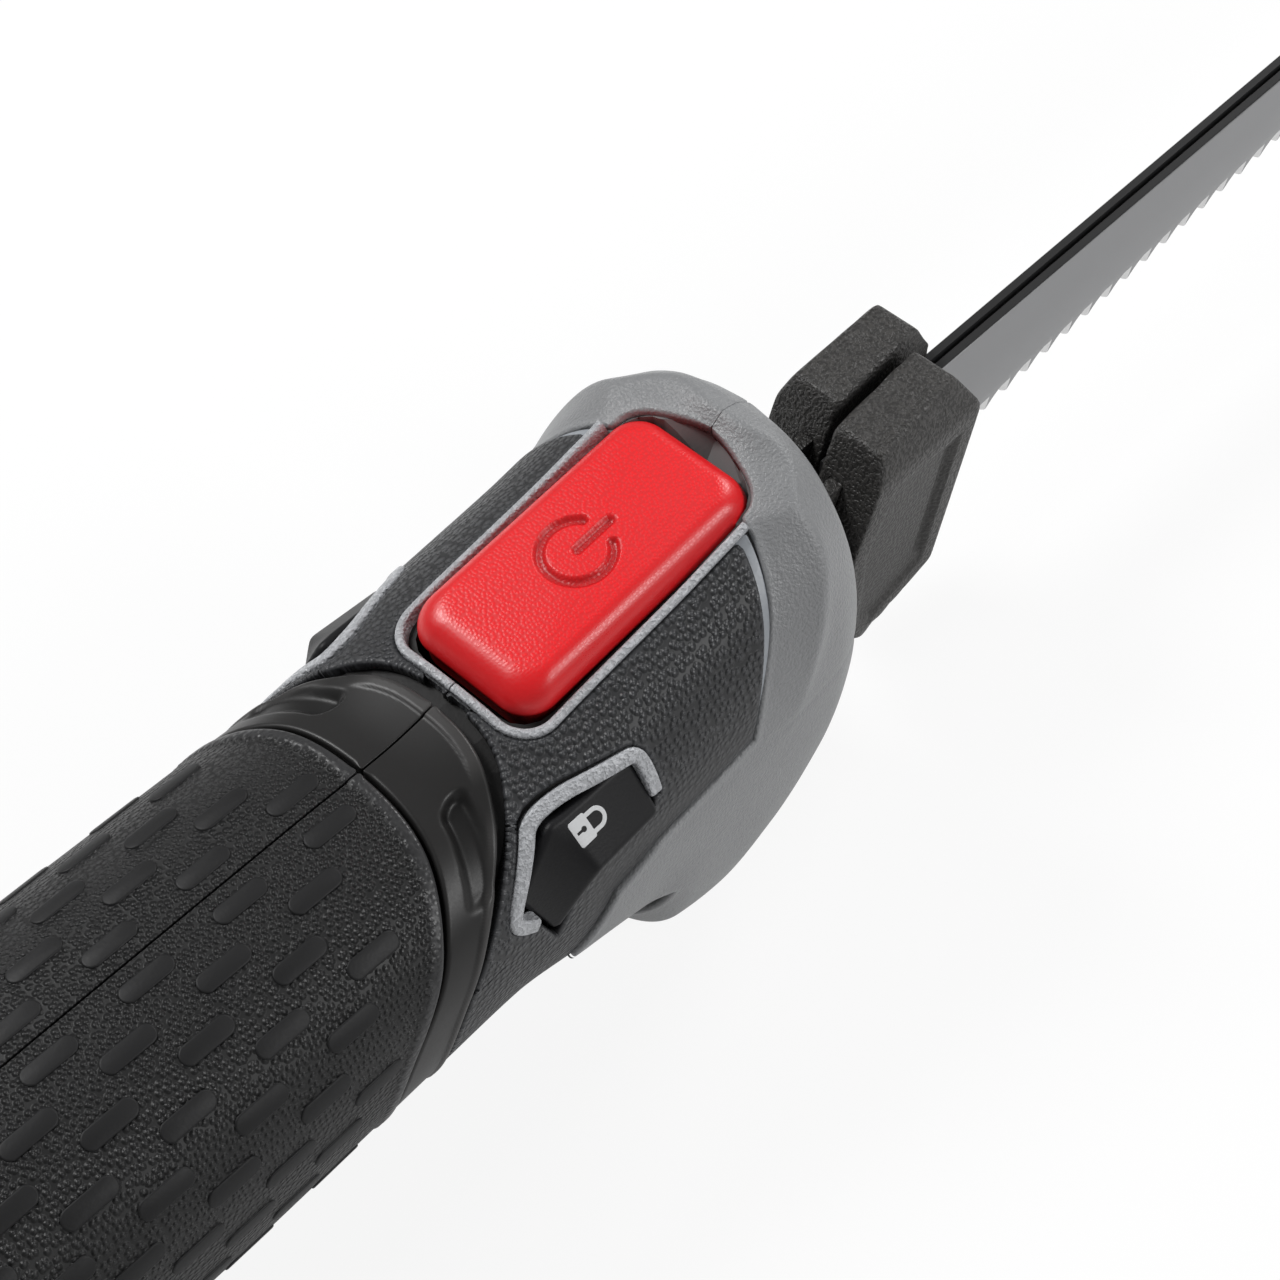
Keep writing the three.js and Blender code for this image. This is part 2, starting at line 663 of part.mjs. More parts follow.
function packOutline(grow) {
  return roundedRectangle(
    -PACK_HALF_WIDTH - grow,
    PACK_HALF_WIDTH + grow,
    PACK_BOTTOM - grow,
    PACK_TOP + grow,
    PACK_CORNER + grow,
  );
}

const yokeHalfLength = ECCENTRIC_RADIUS + YOKE_PLAY + YOKE_WALL;
const yokeHalfHeight = ECCENTRIC_RADIUS + CRANK_THROW + COVER_GAP + YOKE_WALL;
const wheelOuterRadius = WHEEL_PITCH_RADIUS + WHEEL_ADDENDUM;
const wormOuterRadius = WORM_PITCH_RADIUS + WORM_DEPTH / 2;
const recessFloorX = HANDLE_FRONT - RECESS_DEPTH;
const lockTravelRoom = LOCK_TRAVEL + MOVING_GAP;

function driveRoom() {
  const yokeReach = CRANK_THROW + yokeHalfLength + MOVING_GAP;
  const chamber = box(
    [WHEEL_X - yokeReach, WHEEL_X + yokeReach],
    [-ROD_OUTER_Y - MOVING_GAP, ROD_OUTER_Y + MOVING_GAP],
    [WHEEL_AXIS_Z - yokeHalfHeight - MOVING_GAP, WHEEL_AXIS_Z + yokeHalfHeight + MOVING_GAP],
  );
  const wheelRoom = rodAlongY(
    wheelOuterRadius + MOVING_GAP,
    -WHEEL_WIDTH / 2 - COVER_GAP,
    WHEEL_WIDTH / 2 + COVER_GAP,
    WHEEL_X,
    WHEEL_AXIS_Z,
  );
  const rodWidth = [-ROD_OUTER_Y - MOVING_GAP, ROD_OUTER_Y + MOVING_GAP];
  const postRear = ROD_POST_REAR_X - CRANK_THROW - MOVING_GAP;
  const rodRoom = joined(
    box([WHEEL_X, HANDLE_FRONT], rodWidth, [ROD_ARM_BOTTOM - MOVING_GAP, ROD_ARM_TOP + MOVING_GAP]),
    box([postRear, HANDLE_FRONT], rodWidth, [ROD_POST_BOTTOM - MOVING_GAP, ROD_POST_TOP + MOVING_GAP]),
  );
  const axleSeat = rodAlongY(
    AXLE_RADIUS + SEAT_GAP,
    -AXLE_HALF_LENGTH - SEAT_GAP,
    AXLE_HALF_LENGTH + SEAT_GAP,
    WHEEL_X,
    WHEEL_AXIS_Z,
  );
  const motorRear = MOTOR_FRONT_X - MOTOR_LENGTH;
  const motorSeat = rodAlongX(
    MOTOR_RADIUS + SEAT_GAP,
    motorRear - SEAT_GAP,
    MOTOR_FRONT_X + SEAT_GAP,
    MOTOR_AXIS_Z,
  );
  const shaftRoom = rodAlongX(
    wormOuterRadius + MOVING_GAP,
    MOTOR_FRONT_X,
    SHAFT_FRONT_X - BUSH_LENGTH,
    MOTOR_AXIS_Z,
  );
  const bushSeat = rodAlongX(
    BUSH_RADIUS + SEAT_GAP,
    SHAFT_FRONT_X - BUSH_LENGTH - SEAT_GAP,
    SHAFT_FRONT_X + MOVING_GAP,
    MOTOR_AXIS_Z,
  );
  const wireWay = rodAlongX(WIRE_WAY_RADIUS, PACK_FRONT_X - 1, motorRear, MOTOR_AXIS_Z, 16);
  return joined(chamber, wheelRoom, rodRoom, axleSeat, motorSeat, shaftRoom, bushSeat, wireWay);
}

// Ahead of the trigger two sloping walls meet at the seam
function pocketRing(reach, height) {
  const rear = TRIGGER_FRONT_X - TRIGGER_CORNER;
  return [
    [rear, -POCKET_HALF_WIDTH, height],
    [TRIGGER_FRONT_X, -POCKET_HALF_WIDTH + TRIGGER_CORNER / 2, height],
    [TRIGGER_FRONT_X + reach, 0, height],
    [TRIGGER_FRONT_X, POCKET_HALF_WIDTH - TRIGGER_CORNER / 2, height],
    [rear, POCKET_HALF_WIDTH, height],
  ];
}

function triggerRoom() {
  const drop = TRIGGER_LENGTH * Math.sin(TRIGGER_TRAVEL);
  const well = triggerBlock(TRIGGER_GAP, TRIGGER_HEIGHT + drop + COVER_GAP, 2 * TRIGGER_HEIGHT);
  const pocketTop = COLLAR_TOP + 1;
  const pocket = skinOver([
    pocketRing(POCKET_FLOOR_REACH, POCKET_FLOOR_Z),
    pocketRing(POCKET_REACH, pocketTop),
  ]);
  const pinSeat = rodAlongY(
    TRIGGER_PIN_RADIUS + SEAT_GAP,
    -TRIGGER_PIN_LENGTH / 2 - SEAT_GAP,
    TRIGGER_PIN_LENGTH / 2 + SEAT_GAP,
    TRIGGER_PIN_X,
    TRIGGER_PIN_Z,
    16,
  );
  const switchSeat = box(
    [SWITCH_FRONT_X - SWITCH_LENGTH - SEAT_GAP, SWITCH_FRONT_X + SEAT_GAP],
    [-SWITCH_WIDTH / 2 - SEAT_GAP, SWITCH_WIDTH / 2 + SEAT_GAP],
    [SWITCH_BASE_Z - SEAT_GAP, TRIGGER_TOP_Z],
  );
  const springSeat = new THREE.CylinderGeometry(SPRING_RADIUS + 1, SPRING_RADIUS + 1, 2 * SPRING_SEAT_Z, 16);
  springSeat.rotateX(Math.PI / 2);
  springSeat.translate(SPRING_X, 0, 2 * SPRING_SEAT_Z - COVER_GAP);
  return joined(well, solidOf(pocket), pinSeat, switchSeat, solidOf(springSeat));
}

function lockRoom() {
  const barRoom = box(
    [LOCK_BAR_X - LOCK_BAR_LENGTH / 2 - SEAT_GAP, LOCK_BAR_X + LOCK_BAR_LENGTH / 2 + SEAT_GAP],
    [-HALF_WIDE, HALF_WIDE],
    [LOCK_BAR_Z - LOCK_BAR_HEIGHT / 2 - SEAT_GAP, LOCK_BAR_Z + LOCK_BAR_HEIGHT / 2 + SEAT_GAP],
  );
  const buttonShape = lockButtonShape(COVER_GAP);
  const reach = LOCK_BAR_HALF_WIDTH - lockTravelRoom;
  const leftRoom = prismAlongY(buttonShape, reach, HALF_WIDE);
  const rightRoom = prismAlongY(buttonShape, -HALF_WIDE, -reach);
  return joined(barRoom, leftRoom, rightRoom);
}

const restSlab = box([-FAR, FAR], [-FAR, FAR], [REST_PLANE, FAR]);
const allCovers = joined(
  coverPrism(headCoverShape(0)),
  coverPrism(neckBandShape(HEAD_SWEEP, GRIP_SWEEP)),
  coverPrism(gripCoverShape(0)),
);
const coverSpace = cut(allCovers, rimBlock(0), lockRim);
// The collar, its band and the guard stand proud of the covers behind them
const coverRear = box([-FAR, GUARD_REAR[0] - COVER_THICKNESS], [-FAR, FAR], [-FAR, BAND_TIP[1]]);
const proudSkin = cut(
  handleSkin(-COLLAR_PROUD),
  coverPrism(headCoverShape(0)),
  coverPrism(neckBandShape(HEAD_SWEEP, GRIP_SWEEP)),
  coverPrism(gripCoverShape(0)),
  coverRear,
);
const frontRecess = prismAlongX(recessOutline(0), recessFloorX, HANDLE_FRONT + 1, 5);
const shellBlock = cut(
  outerSkin.add(proudSkin).intersect(restSlab),
  cut(coverSpace, shellFace),
  frontRecess,
  driveRoom(),
  triggerRoom(),
  lockRoom(),
  prismAlongX(packOutline(COVER_GAP), HANDLE_REAR - 1, PACK_FRONT_X + TERMINAL_LENGTH),
);

// Scene graph
const knife = new THREE.Group();
knife.name = 'electric_fillet_knife';

function place(group, name, solid, material) {
  const mesh = new THREE.Mesh(geometryOf(solid), material);
  mesh.name = name;
  group.add(mesh);
  return mesh;
}

function group(name) {
  const made = new THREE.Group();
  made.name = name;
  knife.add(made);
  return made;
}

const SIDES = [
  { side: RIGHT, word: 'right' },
  { side: LEFT, word: 'left' },
];

const handle = group('handle');
for (const { side, word } of SIDES) {
  place(handle, `housing_${word}`, sideOf(shellBlock, side), FINISHES.greyPlastic());
  place(handle, `head_cover_${word}`, sideOf(headCover, side), FINISHES.charcoalRubber());
  place(handle, `neck_band_${word}`, sideOf(neckBand, side), FINISHES.blackRubber());
  place(handle, `grip_cover_${word}`, sideOf(gripCover, side), FINISHES.blackRubber());
}

// Front plate with a slot for each drive rod
function nosePlate() {
  const plate = prismAlongX(recessOutline(-SEAT_GAP), recessFloorX, recessFloorX + NOSE_PLATE_THICKNESS, 5);
  const slots = SIDES.map(({ side }) => box(
    [recessFloorX - 1, recessFloorX + NOSE_PLATE_THICKNESS + 1],
    [ROD_INNER_Y - RUNNING_GAP, ROD_OUTER_Y + RUNNING_GAP].map((y) => y * side).sort((a, b) => a - b),
    [ROD_POST_BOTTOM - RUNNING_GAP, ROD_POST_TOP + RUNNING_GAP],
  ));
  return cut(plate, ...slots);
}
place(handle, 'nose_plate', nosePlate(), FINISHES.blackPlastic());

// Trigger, its pin, spring and switch
const triggerGroup = group('trigger_group');
const pinHole = rodAlongY(
  TRIGGER_PIN_RADIUS + RUNNING_GAP,
  -TRIGGER_WIDTH,
  TRIGGER_WIDTH,
  TRIGGER_PIN_X,
  TRIGGER_PIN_Z,
  16,
);
place(triggerGroup, 'trigger', cut(triggerPaddle(), pinHole), FINISHES.redPlastic());
const triggerPin = rodAlongY(
  TRIGGER_PIN_RADIUS,
  -TRIGGER_PIN_LENGTH / 2,
  TRIGGER_PIN_LENGTH / 2,
  TRIGGER_PIN_X,
  TRIGGER_PIN_Z,
  16,
);
place(triggerGroup, 'trigger_pin', triggerPin, FINISHES.steel());

class SpringCurve extends THREE.Curve {
  constructor(radius, height, turns) {
    super();
    this.radius = radius;
    this.height = height;
    this.turns = turns;
  }

  getPoint(t, target = new THREE.Vector3()) {
    const angle = 2 * Math.PI * this.turns * t;
    return target.set(this.radius * Math.cos(angle), this.radius * Math.sin(angle), this.height * t);
  }
}

function wireSection(radius, sides) {
  return outline(Array.from({ length: sides }, (_, i) => {
    const angle = 2 * Math.PI * i / sides;
    return [radius * Math.cos(angle), radius * Math.sin(angle)];
  }));
}

function triggerSpring() {
  const low = SPRING_SEAT_Z + SPRING_WIRE;
  const high = triggerUndersideAt(SPRING_X - SPRING_RADIUS - SPRING_WIRE) - SPRING_WIRE - COVER_GAP;
  const curve = new SpringCurve(SPRING_RADIUS, high - low, SPRING_TURNS);
  const geometry = new THREE.ExtrudeGeometry(wireSection(SPRING_WIRE, 4), {
    steps: 8 * SPRING_TURNS,
    extrudePath: curve,
    bevelEnabled: false,
  });
  geometry.translate(SPRING_X, 0, low);
  return solidOf(geometry);
}
place(triggerGroup, 'trigger_spring', triggerSpring(), FINISHES.steel());

const switchTop = SWITCH_BASE_Z + SWITCH_HEIGHT;
function plungerColumn(grow, from, to) {
  const half = PLUNGER_SIDE / 2 + grow;
  return box([PLUNGER_X - half, PLUNGER_X + half], [-half, half], [from, to]);
}
const switchBlock = box(
  [SWITCH_FRONT_X - SWITCH_LENGTH, SWITCH_FRONT_X],
  [-SWITCH_WIDTH / 2, SWITCH_WIDTH / 2],
  [SWITCH_BASE_Z, switchTop],
);
const plungerWell = plungerColumn(RUNNING_GAP, PLUNGER_FOOT_Z - PLUNGER_TRAVEL, switchTop + 1);
const switchBody = cut(switchBlock, plungerWell);
place(triggerGroup, 'switch_body', switchBody, FINISHES.blackPlastic());
const plungerTop = triggerUndersideAt(PLUNGER_X - PLUNGER_SIDE / 2) - SEAT_GAP;
place(triggerGroup, 'switch_plunger', plungerColumn(0, PLUNGER_FOOT_Z, plungerTop), FINISHES.redPlastic());

// Trigger lock
const lockGroup = group('lock_group');
const lockBar = box(
  [LOCK_BAR_X - LOCK_BAR_LENGTH / 2, LOCK_BAR_X + LOCK_BAR_LENGTH / 2],
  [-LOCK_BAR_HALF_WIDTH, LOCK_BAR_HALF_WIDTH],
  [LOCK_BAR_Z - LOCK_BAR_HEIGHT / 2, LOCK_BAR_Z + LOCK_BAR_HEIGHT / 2],
);
place(lockGroup, 'lock_bar', lockBar, FINISHES.blackPlastic());

// Each button has a sloping upper facet that stands proud along its lower edge, over an upright face
function lockButton(side) {
  const facets = outline([
    [side * LOCK_BAR_HALF_WIDTH, LOCK_TAIL_Z - 1],
    [side * (LOCK_EDGE_Y - 1), LOCK_TAIL_Z - 1],
    [side * LOCK_EDGE_Y, LOCK_TAIL_Z + 2],
    [side * LOCK_EDGE_Y, LOCK_LEG_BOTTOM],
    [side * LOCK_CREST_Y, LOCK_CREST_Z],
    [side * LOCK_BAR_HALF_WIDTH, LOCK_CREST_Z],
  ]);
  const leg = prismAlongY(lockButtonShape(0), side * LOCK_BAR_HALF_WIDTH, side * HALF_WIDE);
  return leg.intersect(prismAlongX(facets, LOCK_REAR_X - 1, LOCK_FRONT_X + 1));
}

for (const { side, word } of SIDES) {
  place(lockGroup, `lock_button_${word}`, lockButton(side), FINISHES.blackPlastic());
}

// Motor, worm and wheel
const driveGroup = group('drive_group');
const armatureMiddle = MOTOR_FRONT_X - MOTOR_LENGTH / 2;
function motorCan() {
  const rear = MOTOR_FRONT_X - MOTOR_LENGTH;
  const can = rodAlongX(MOTOR_RADIUS, rear, MOTOR_FRONT_X, MOTOR_AXIS_Z);
  const bossFront = MOTOR_FRONT_X + MOTOR_BOSS_LENGTH;
  const boss = rodAlongX(MOTOR_BOSS_RADIUS, MOTOR_FRONT_X, bossFront, MOTOR_AXIS_Z, 16);
  const bore = rodAlongX(SHAFT_RADIUS + RUNNING_GAP, rear + MOTOR_WALL, bossFront + 1, MOTOR_AXIS_Z, 16);
  const chamber = rodAlongX(
    MOTOR_RADIUS - MOTOR_WALL,
    armatureMiddle - ARMATURE_LENGTH / 2 - MOVING_GAP,
    armatureMiddle + ARMATURE_LENGTH / 2 + MOVING_GAP,
    MOTOR_AXIS_Z,
    16,
  );
  return cut(can.add(boss), bore, chamber);
}
place(driveGroup, 'motor_can', motorCan(), FINISHES.steel());
const shaftRear = MOTOR_FRONT_X - MOTOR_LENGTH + MOTOR_WALL + SEAT_GAP;
const shaft = rodAlongX(SHAFT_RADIUS, shaftRear, SHAFT_FRONT_X, MOTOR_AXIS_Z, 16);
place(driveGroup, 'motor_shaft', shaft, FINISHES.steel());
const armatureFront = armatureMiddle + ARMATURE_LENGTH / 2;
const armatureRear = armatureMiddle - ARMATURE_LENGTH / 2;
const armature = cut(
  rodAlongX(MOTOR_RADIUS - MOTOR_WALL - MOVING_GAP, armatureRear, armatureFront, MOTOR_AXIS_Z, 16),
  rodAlongX(SHAFT_RADIUS + SEAT_GAP, armatureRear - 1, armatureFront + 1, MOTOR_AXIS_Z, 16),
);
place(driveGroup, 'motor_armature', armature, FINISHES.steel());
const bush = cut(
  rodAlongX(BUSH_RADIUS, SHAFT_FRONT_X - BUSH_LENGTH, SHAFT_FRONT_X, MOTOR_AXIS_Z, 20),
  rodAlongX(SHAFT_RADIUS + RUNNING_GAP, SHAFT_FRONT_X - BUSH_LENGTH - 1, SHAFT_FRONT_X + 1, MOTOR_AXIS_Z, 16),
);
place(driveGroup, 'shaft_bush', bush, FINISHES.brass());

// The worm's radius rises from root to crest along a helix of one tooth pitch a turn
const WORM_SIDES = 12;
const WORM_ROWS_PER_PITCH = 6;
function wormCrest(phase) {
  const away = Math.abs(phase - Math.round(phase));
  return 1 - THREE.MathUtils.smoothstep(away, 0.07, 0.2);
}

function worm() {
  const rows = Math.round(WORM_LENGTH / WORM_PITCH * WORM_ROWS_PER_PITCH);
  const start = WHEEL_X - WORM_LENGTH / 2;
  const root = WORM_PITCH_RADIUS - WORM_DEPTH / 2;
  const rings = [];
  for (let row = 0; row <= rows; row += 1) {
    const x = start + WORM_LENGTH * row / rows;
    const fade = Math.min(1, row, rows - row);
    rings.push(Array.from({ length: WORM_SIDES }, (_, i) => {
      const angle = 2 * Math.PI * i / WORM_SIDES;
      const phase = (x - WHEEL_X) / WORM_PITCH - (angle / (2 * Math.PI) - 0.75) + 0.5;
      const radius = root + WORM_DEPTH * wormCrest(phase) * fade;
      return [x, radius * Math.cos(angle), MOTOR_AXIS_Z + radius * Math.sin(angle)];
    }));
  }
  const bore = rodAlongX(SHAFT_RADIUS + SEAT_GAP, start - 1, start + WORM_LENGTH + 1, MOTOR_AXIS_Z, 16);
  return cut(solidOf(skinOver(rings)), bore);
}
place(driveGroup, 'worm', worm(), FINISHES.steel());

// The wheel's teeth lean by the worm's lead angle
function wormWheel() {
  const shape = new THREE.Shape();
  const root = WHEEL_PITCH_RADIUS - WHEEL_MODULE;
  const step = 2 * Math.PI / WHEEL_TEETH;
  const points = [];
  for (let tooth = 0; tooth < WHEEL_TEETH; tooth += 1) {
    const middle = Math.PI / 2 + tooth * step;
    points.push([root, middle - WHEEL_TOOTH_ROOT / 2 * step]);
    points.push([wheelOuterRadius, middle - WHEEL_TOOTH_TIP / 2 * step]);
    points.push([wheelOuterRadius, middle + WHEEL_TOOTH_TIP / 2 * step]);
    points.push([root, middle + WHEEL_TOOTH_ROOT / 2 * step]);
  }
  shape.setFromPoints(points.map(([r, a]) => new THREE.Vector2(r * Math.cos(a), r * Math.sin(a))));
  const geometry = new THREE.ExtrudeGeometry(shape, { depth: WHEEL_WIDTH, bevelEnabled: false });
  geometry.rotateX(Math.PI / 2);
  geometry.translate(0, WHEEL_WIDTH / 2, 0);
  const lead = WORM_PITCH / (2 * Math.PI * WORM_PITCH_RADIUS);
  const places = geometry.attributes.position;
  const point = new THREE.Vector3();
  for (let i = 0; i < places.count; i += 1) {
    point.fromBufferAttribute(places, i);
    point.applyAxisAngle(new THREE.Vector3(0, 1, 0), lead * point.y / WHEEL_PITCH_RADIUS);
    places.setXYZ(i, point.x, point.y, point.z);
  }
  geometry.translate(WHEEL_X, 0, WHEEL_AXIS_Z);
  return cut(solidOf(geometry), axleBore());
}

function axleBore() {
  return rodAlongY(AXLE_RADIUS + RUNNING_GAP, -AXLE_HALF_LENGTH, AXLE_HALF_LENGTH, WHEEL_X, WHEEL_AXIS_Z);
}
place(driveGroup, 'worm_wheel', wormWheel(), FINISHES.nylon());
const axle = rodAlongY(AXLE_RADIUS, -AXLE_HALF_LENGTH, AXLE_HALF_LENGTH, WHEEL_X, WHEEL_AXIS_Z);
place(driveGroup, 'wheel_axle', axle, FINISHES.steel());
for (const { side, word } of SIDES) {
  const disc = rodAlongY(
    ECCENTRIC_RADIUS,
    side * WHEEL_WIDTH / 2,
    side * ROD_OUTER_Y,
    WHEEL_X + side * CRANK_THROW,
    WHEEL_AXIS_Z,
    24,
  );
  place(driveGroup, `eccentric_${word}`, cut(disc, axleBore()), FINISHES.nylon());
}

// Drive rods: a yoke round the eccentric and an arm that runs out through the nose
const rodGroup = group('rod_group');
function driveRod(side) {
  const middle = WHEEL_X + side * CRANK_THROW;
  const yoke = roundedRectangle(
    middle - yokeHalfLength,
    middle + yokeHalfLength,
    WHEEL_AXIS_Z - yokeHalfHeight,
    WHEEL_AXIS_Z + yokeHalfHeight,
    YOKE_WALL,
  );
  const windowHalfLength = yokeHalfLength - YOKE_WALL;
  const windowHalfHeight = yokeHalfHeight - YOKE_WALL;
  const windowCut = box(
    [middle - windowHalfLength, middle + windowHalfLength],
    [-HALF_WIDE, HALF_WIDE],
    [WHEEL_AXIS_Z - windowHalfHeight, WHEEL_AXIS_Z + windowHalfHeight],
  );
  const frame = cut(prismAlongY(yoke, side * ROD_INNER_Y, side * ROD_OUTER_Y), windowCut);
  const postRear = ROD_POST_REAR_X + side * CRANK_THROW;
  const postFront = ROD_FRONT_X + side * CRANK_THROW;
  const arm = outline([
    [middle + windowHalfLength + YOKE_WALL / 2, ROD_ARM_BOTTOM],
    [postRear, ROD_ARM_BOTTOM],
    [postRear + ROD_ARM_TOP - ROD_ARM_BOTTOM, ROD_POST_BOTTOM],
    [postFront, ROD_POST_BOTTOM],
    [postFront, ROD_POST_TOP],
    [postRear, ROD_POST_TOP],
    [postRear, ROD_ARM_TOP],
    [middle + windowHalfLength + YOKE_WALL / 2, ROD_ARM_TOP],
  ]);
  return frame.add(prismAlongY(arm, side * ROD_INNER_Y, side * ROD_OUTER_Y, 3));
}

for (const { side, word } of SIDES) {
  place(rodGroup, `drive_rod_${word}`, driveRod(side), FINISHES.steel());
}

// Blade hubs
const bladeGroup = group('blade_group');
function hubOutline(inset, lift) {
  return outline([
    [HUB_TOP_REAR_X + inset, HUB_TOP_REAR_Z - inset - lift],
    [HUB_BACK_X + inset, HUB_BACK_TOP_Z],
    [HUB_BACK_X + inset, HUB_BACK_BOTTOM_Z + inset],
    [HUB_FOOT_REAR_X + inset, HUB_FOOT_REAR_Z + inset],
    [HUB_FOOT_FRONT_X - inset, HUB_FOOT_FRONT_Z + inset],
    [HUB_NOSE_X - inset, HUB_NOSE_Z - lift],
    [HUB_TOP_FRONT_X - inset, HUB_TOP_FRONT_Z - inset - lift],
  ]);
}

function bladeHub(side) {
  const block = prismAlongY(hubOutline(0, 0), side * HUB_INNER_Y, side * HUB_OUTER_Y);
  const shoulder = HUB_NOSE_Z;
  const ends = prismAlongX(outline([
    [side * HUB_INNER_Y, HUB_FOOT_REAR_Z - 1],
    [side * (HUB_OUTER_Y - 1), HUB_FOOT_REAR_Z - 1],
    [side * HUB_OUTER_Y, HUB_FOOT_REAR_Z + 1.5],
    [side * HUB_OUTER_Y, shoulder],
    [side * HUB_TOP_OUTER_Y, shoulder + HUB_CHAMFER_DROP],
    [side * HUB_TOP_OUTER_Y, HUB_TOP_FRONT_Z + 1],
    [side * HUB_INNER_Y, HUB_TOP_FRONT_Z + 1],
  ]), HUB_BACK_X - 1, HUB_NOSE_X + 1);
  const panel = prismAlongY(
    hubOutline(HUB_PANEL_INSET, HUB_CHAMFER_DROP),
    side * (HUB_OUTER_Y - HUB_PANEL_DEPTH),
    side * (HUB_OUTER_Y + 1),
  );
  const socket = box(
    [HUB_BACK_X - 1, ROD_FRONT_X + COVER_GAP],
    [ROD_INNER_Y - RUNNING_GAP, ROD_OUTER_Y + RUNNING_GAP].map((y) => y * side).sort((a, b) => a - b),
    [ROD_POST_BOTTOM - RUNNING_GAP, ROD_POST_TOP + RUNNING_GAP],
  );
  const tangSlot = prismAlongY(outline([
    [BLADE_TANG_X - SEAT_GAP, BLADE_SPINE_Z + SEAT_GAP],
    [BLADE_TANG_X - SEAT_GAP, BLADE_HEEL_Z - SEAT_GAP],
    [HUB_NOSE_X + 1, BLADE_HEEL_Z - SEAT_GAP],
    [HUB_NOSE_X + 1, BLADE_SPINE_Z + SEAT_GAP],
  ]), 0, side * (BLADE_OUTER_Y + SEAT_GAP));
  return cut(block.intersect(ends), panel, socket, tangSlot);
}

// Blade outline: level spine that drops to the tip, and hollow teeth along the edge
function bladeOutline() {
  const shape = new THREE.Shape();
  shape.moveTo(BLADE_TANG_X, BLADE_HEEL_Z);
  shape.lineTo(BLADE_HEEL_X, BLADE_HEEL_Z);
  const count = Math.floor((BLADE_TIP_X - BLADE_HEEL_X - TOOTH_PITCH) / TOOTH_PITCH);
  const edgeSlope = (BLADE_TIP_Z - BLADE_HEEL_Z) / (BLADE_TIP_X - BLADE_HEEL_X);
  for (let tooth = 0; tooth < count; tooth += 1) {
    const from = BLADE_HEEL_X + tooth * TOOTH_PITCH;
    const to = from + TOOTH_PITCH;
    const low = BLADE_HEEL_Z + (to - BLADE_HEEL_X) * edgeSlope;
    shape.lineTo(from + TOOTH_STEEP_SHARE * TOOTH_PITCH, low + TOOTH_DEPTH);
    shape.quadraticCurveTo(from + 0.5 * TOOTH_PITCH, low + TOOTH_DEPTH, to, low);
  }
  shape.lineTo(BLADE_TIP_X, BLADE_TIP_Z);
  shape.quadraticCurveTo(BLADE_TIP_X - BLADE_TIP_CURVE, BLADE_SPINE_Z, BLADE_BELLY_X, BLADE_SPINE_Z);
  shape.lineTo(BLADE_TANG_X, BLADE_SPINE_Z);
  return shape;
}

function blade(side) {
  return prismAlongY(bladeOutline(), side * BLADE_INNER_Y, side * BLADE_OUTER_Y, 2);
}

// The rivet is fast in the left blade and runs in a slot in the right one
function rivetSlot() {
  const half = RIVET_RADIUS + RUNNING_GAP;
  const reach = STROKE + half;
  const slot = roundedRectangle(RIVET_X - reach, RIVET_X + reach, RIVET_Z - half, RIVET_Z + half, half);
  return prismAlongY(slot, -BLADE_OUTER_Y - 1, 0, 5);
}

function bladeRivet() {
  const gap = RUNNING_GAP;
  const pin = rodAlongY(RIVET_RADIUS, -BLADE_OUTER_Y - gap, BLADE_OUTER_Y + gap, RIVET_X, RIVET_Z, 16);
  const heads = [LEFT, RIGHT].map((side) => rodAlongY(
    RIVET_HEAD_RADIUS,
    side * (BLADE_OUTER_Y + gap),
    side * (BLADE_OUTER_Y + gap + RIVET_HEAD_THICKNESS),
    RIVET_X,
    RIVET_Z,
    16,
  ));
  return joined(pin, ...heads);
}

// The blades rest at opposite ends of their stroke
const rivetHole = rodAlongY(RIVET_RADIUS + RUNNING_GAP, -1, BLADE_OUTER_Y + 1, RIVET_X, RIVET_Z, 16);
const bladeCuts = { right: rivetSlot(), left: rivetHole };
for (const { side, word } of SIDES) {
  const hubMesh = place(bladeGroup, `hub_${word}`, bladeHub(side), FINISHES.blackPlastic());
  const bladeMesh = place(bladeGroup, `blade_${word}`, cut(blade(side), bladeCuts[word]), FINISHES.steel());
  hubMesh.position.x = side * CRANK_THROW;
  bladeMesh.position.x = side * CRANK_THROW;
}
const rivetMesh = place(bladeGroup, 'blade_rivet', bladeRivet(), FINISHES.steel());
rivetMesh.position.x = CRANK_THROW;

// Battery pack: a case that slides into the grip, a foot behind it and a latch button on each side
const batteryGroup = group('battery_group');
const footFront = HANDLE_REAR - COVER_GAP;
const packCase = prismAlongX(packOutline(0), footFront, PACK_FRONT_X);
function contactSlot(i) {
  const middle = (i - (CONTACT_COUNT - 1) / 2) * CONTACT_SPACING;
  const half = CONTACT_THICKNESS / 2 + COVER_GAP;
  return box(
    [PACK_FRONT_X - CONTACT_LENGTH - COVER_GAP, PACK_FRONT_X + 1],
    [middle - half, middle + half],
    [MOTOR_AXIS_Z - CONTACT_HEIGHT / 2 - COVER_GAP, MOTOR_AXIS_Z + CONTACT_HEIGHT / 2 + COVER_GAP],
  );
}
const contactNumbers = Array.from({ length: CONTACT_COUNT }, (_, i) => i);
const slottedCase = cut(packCase, ...contactNumbers.map(contactSlot));
place(batteryGroup, 'battery_case', slottedCase, FINISHES.blackPlastic());

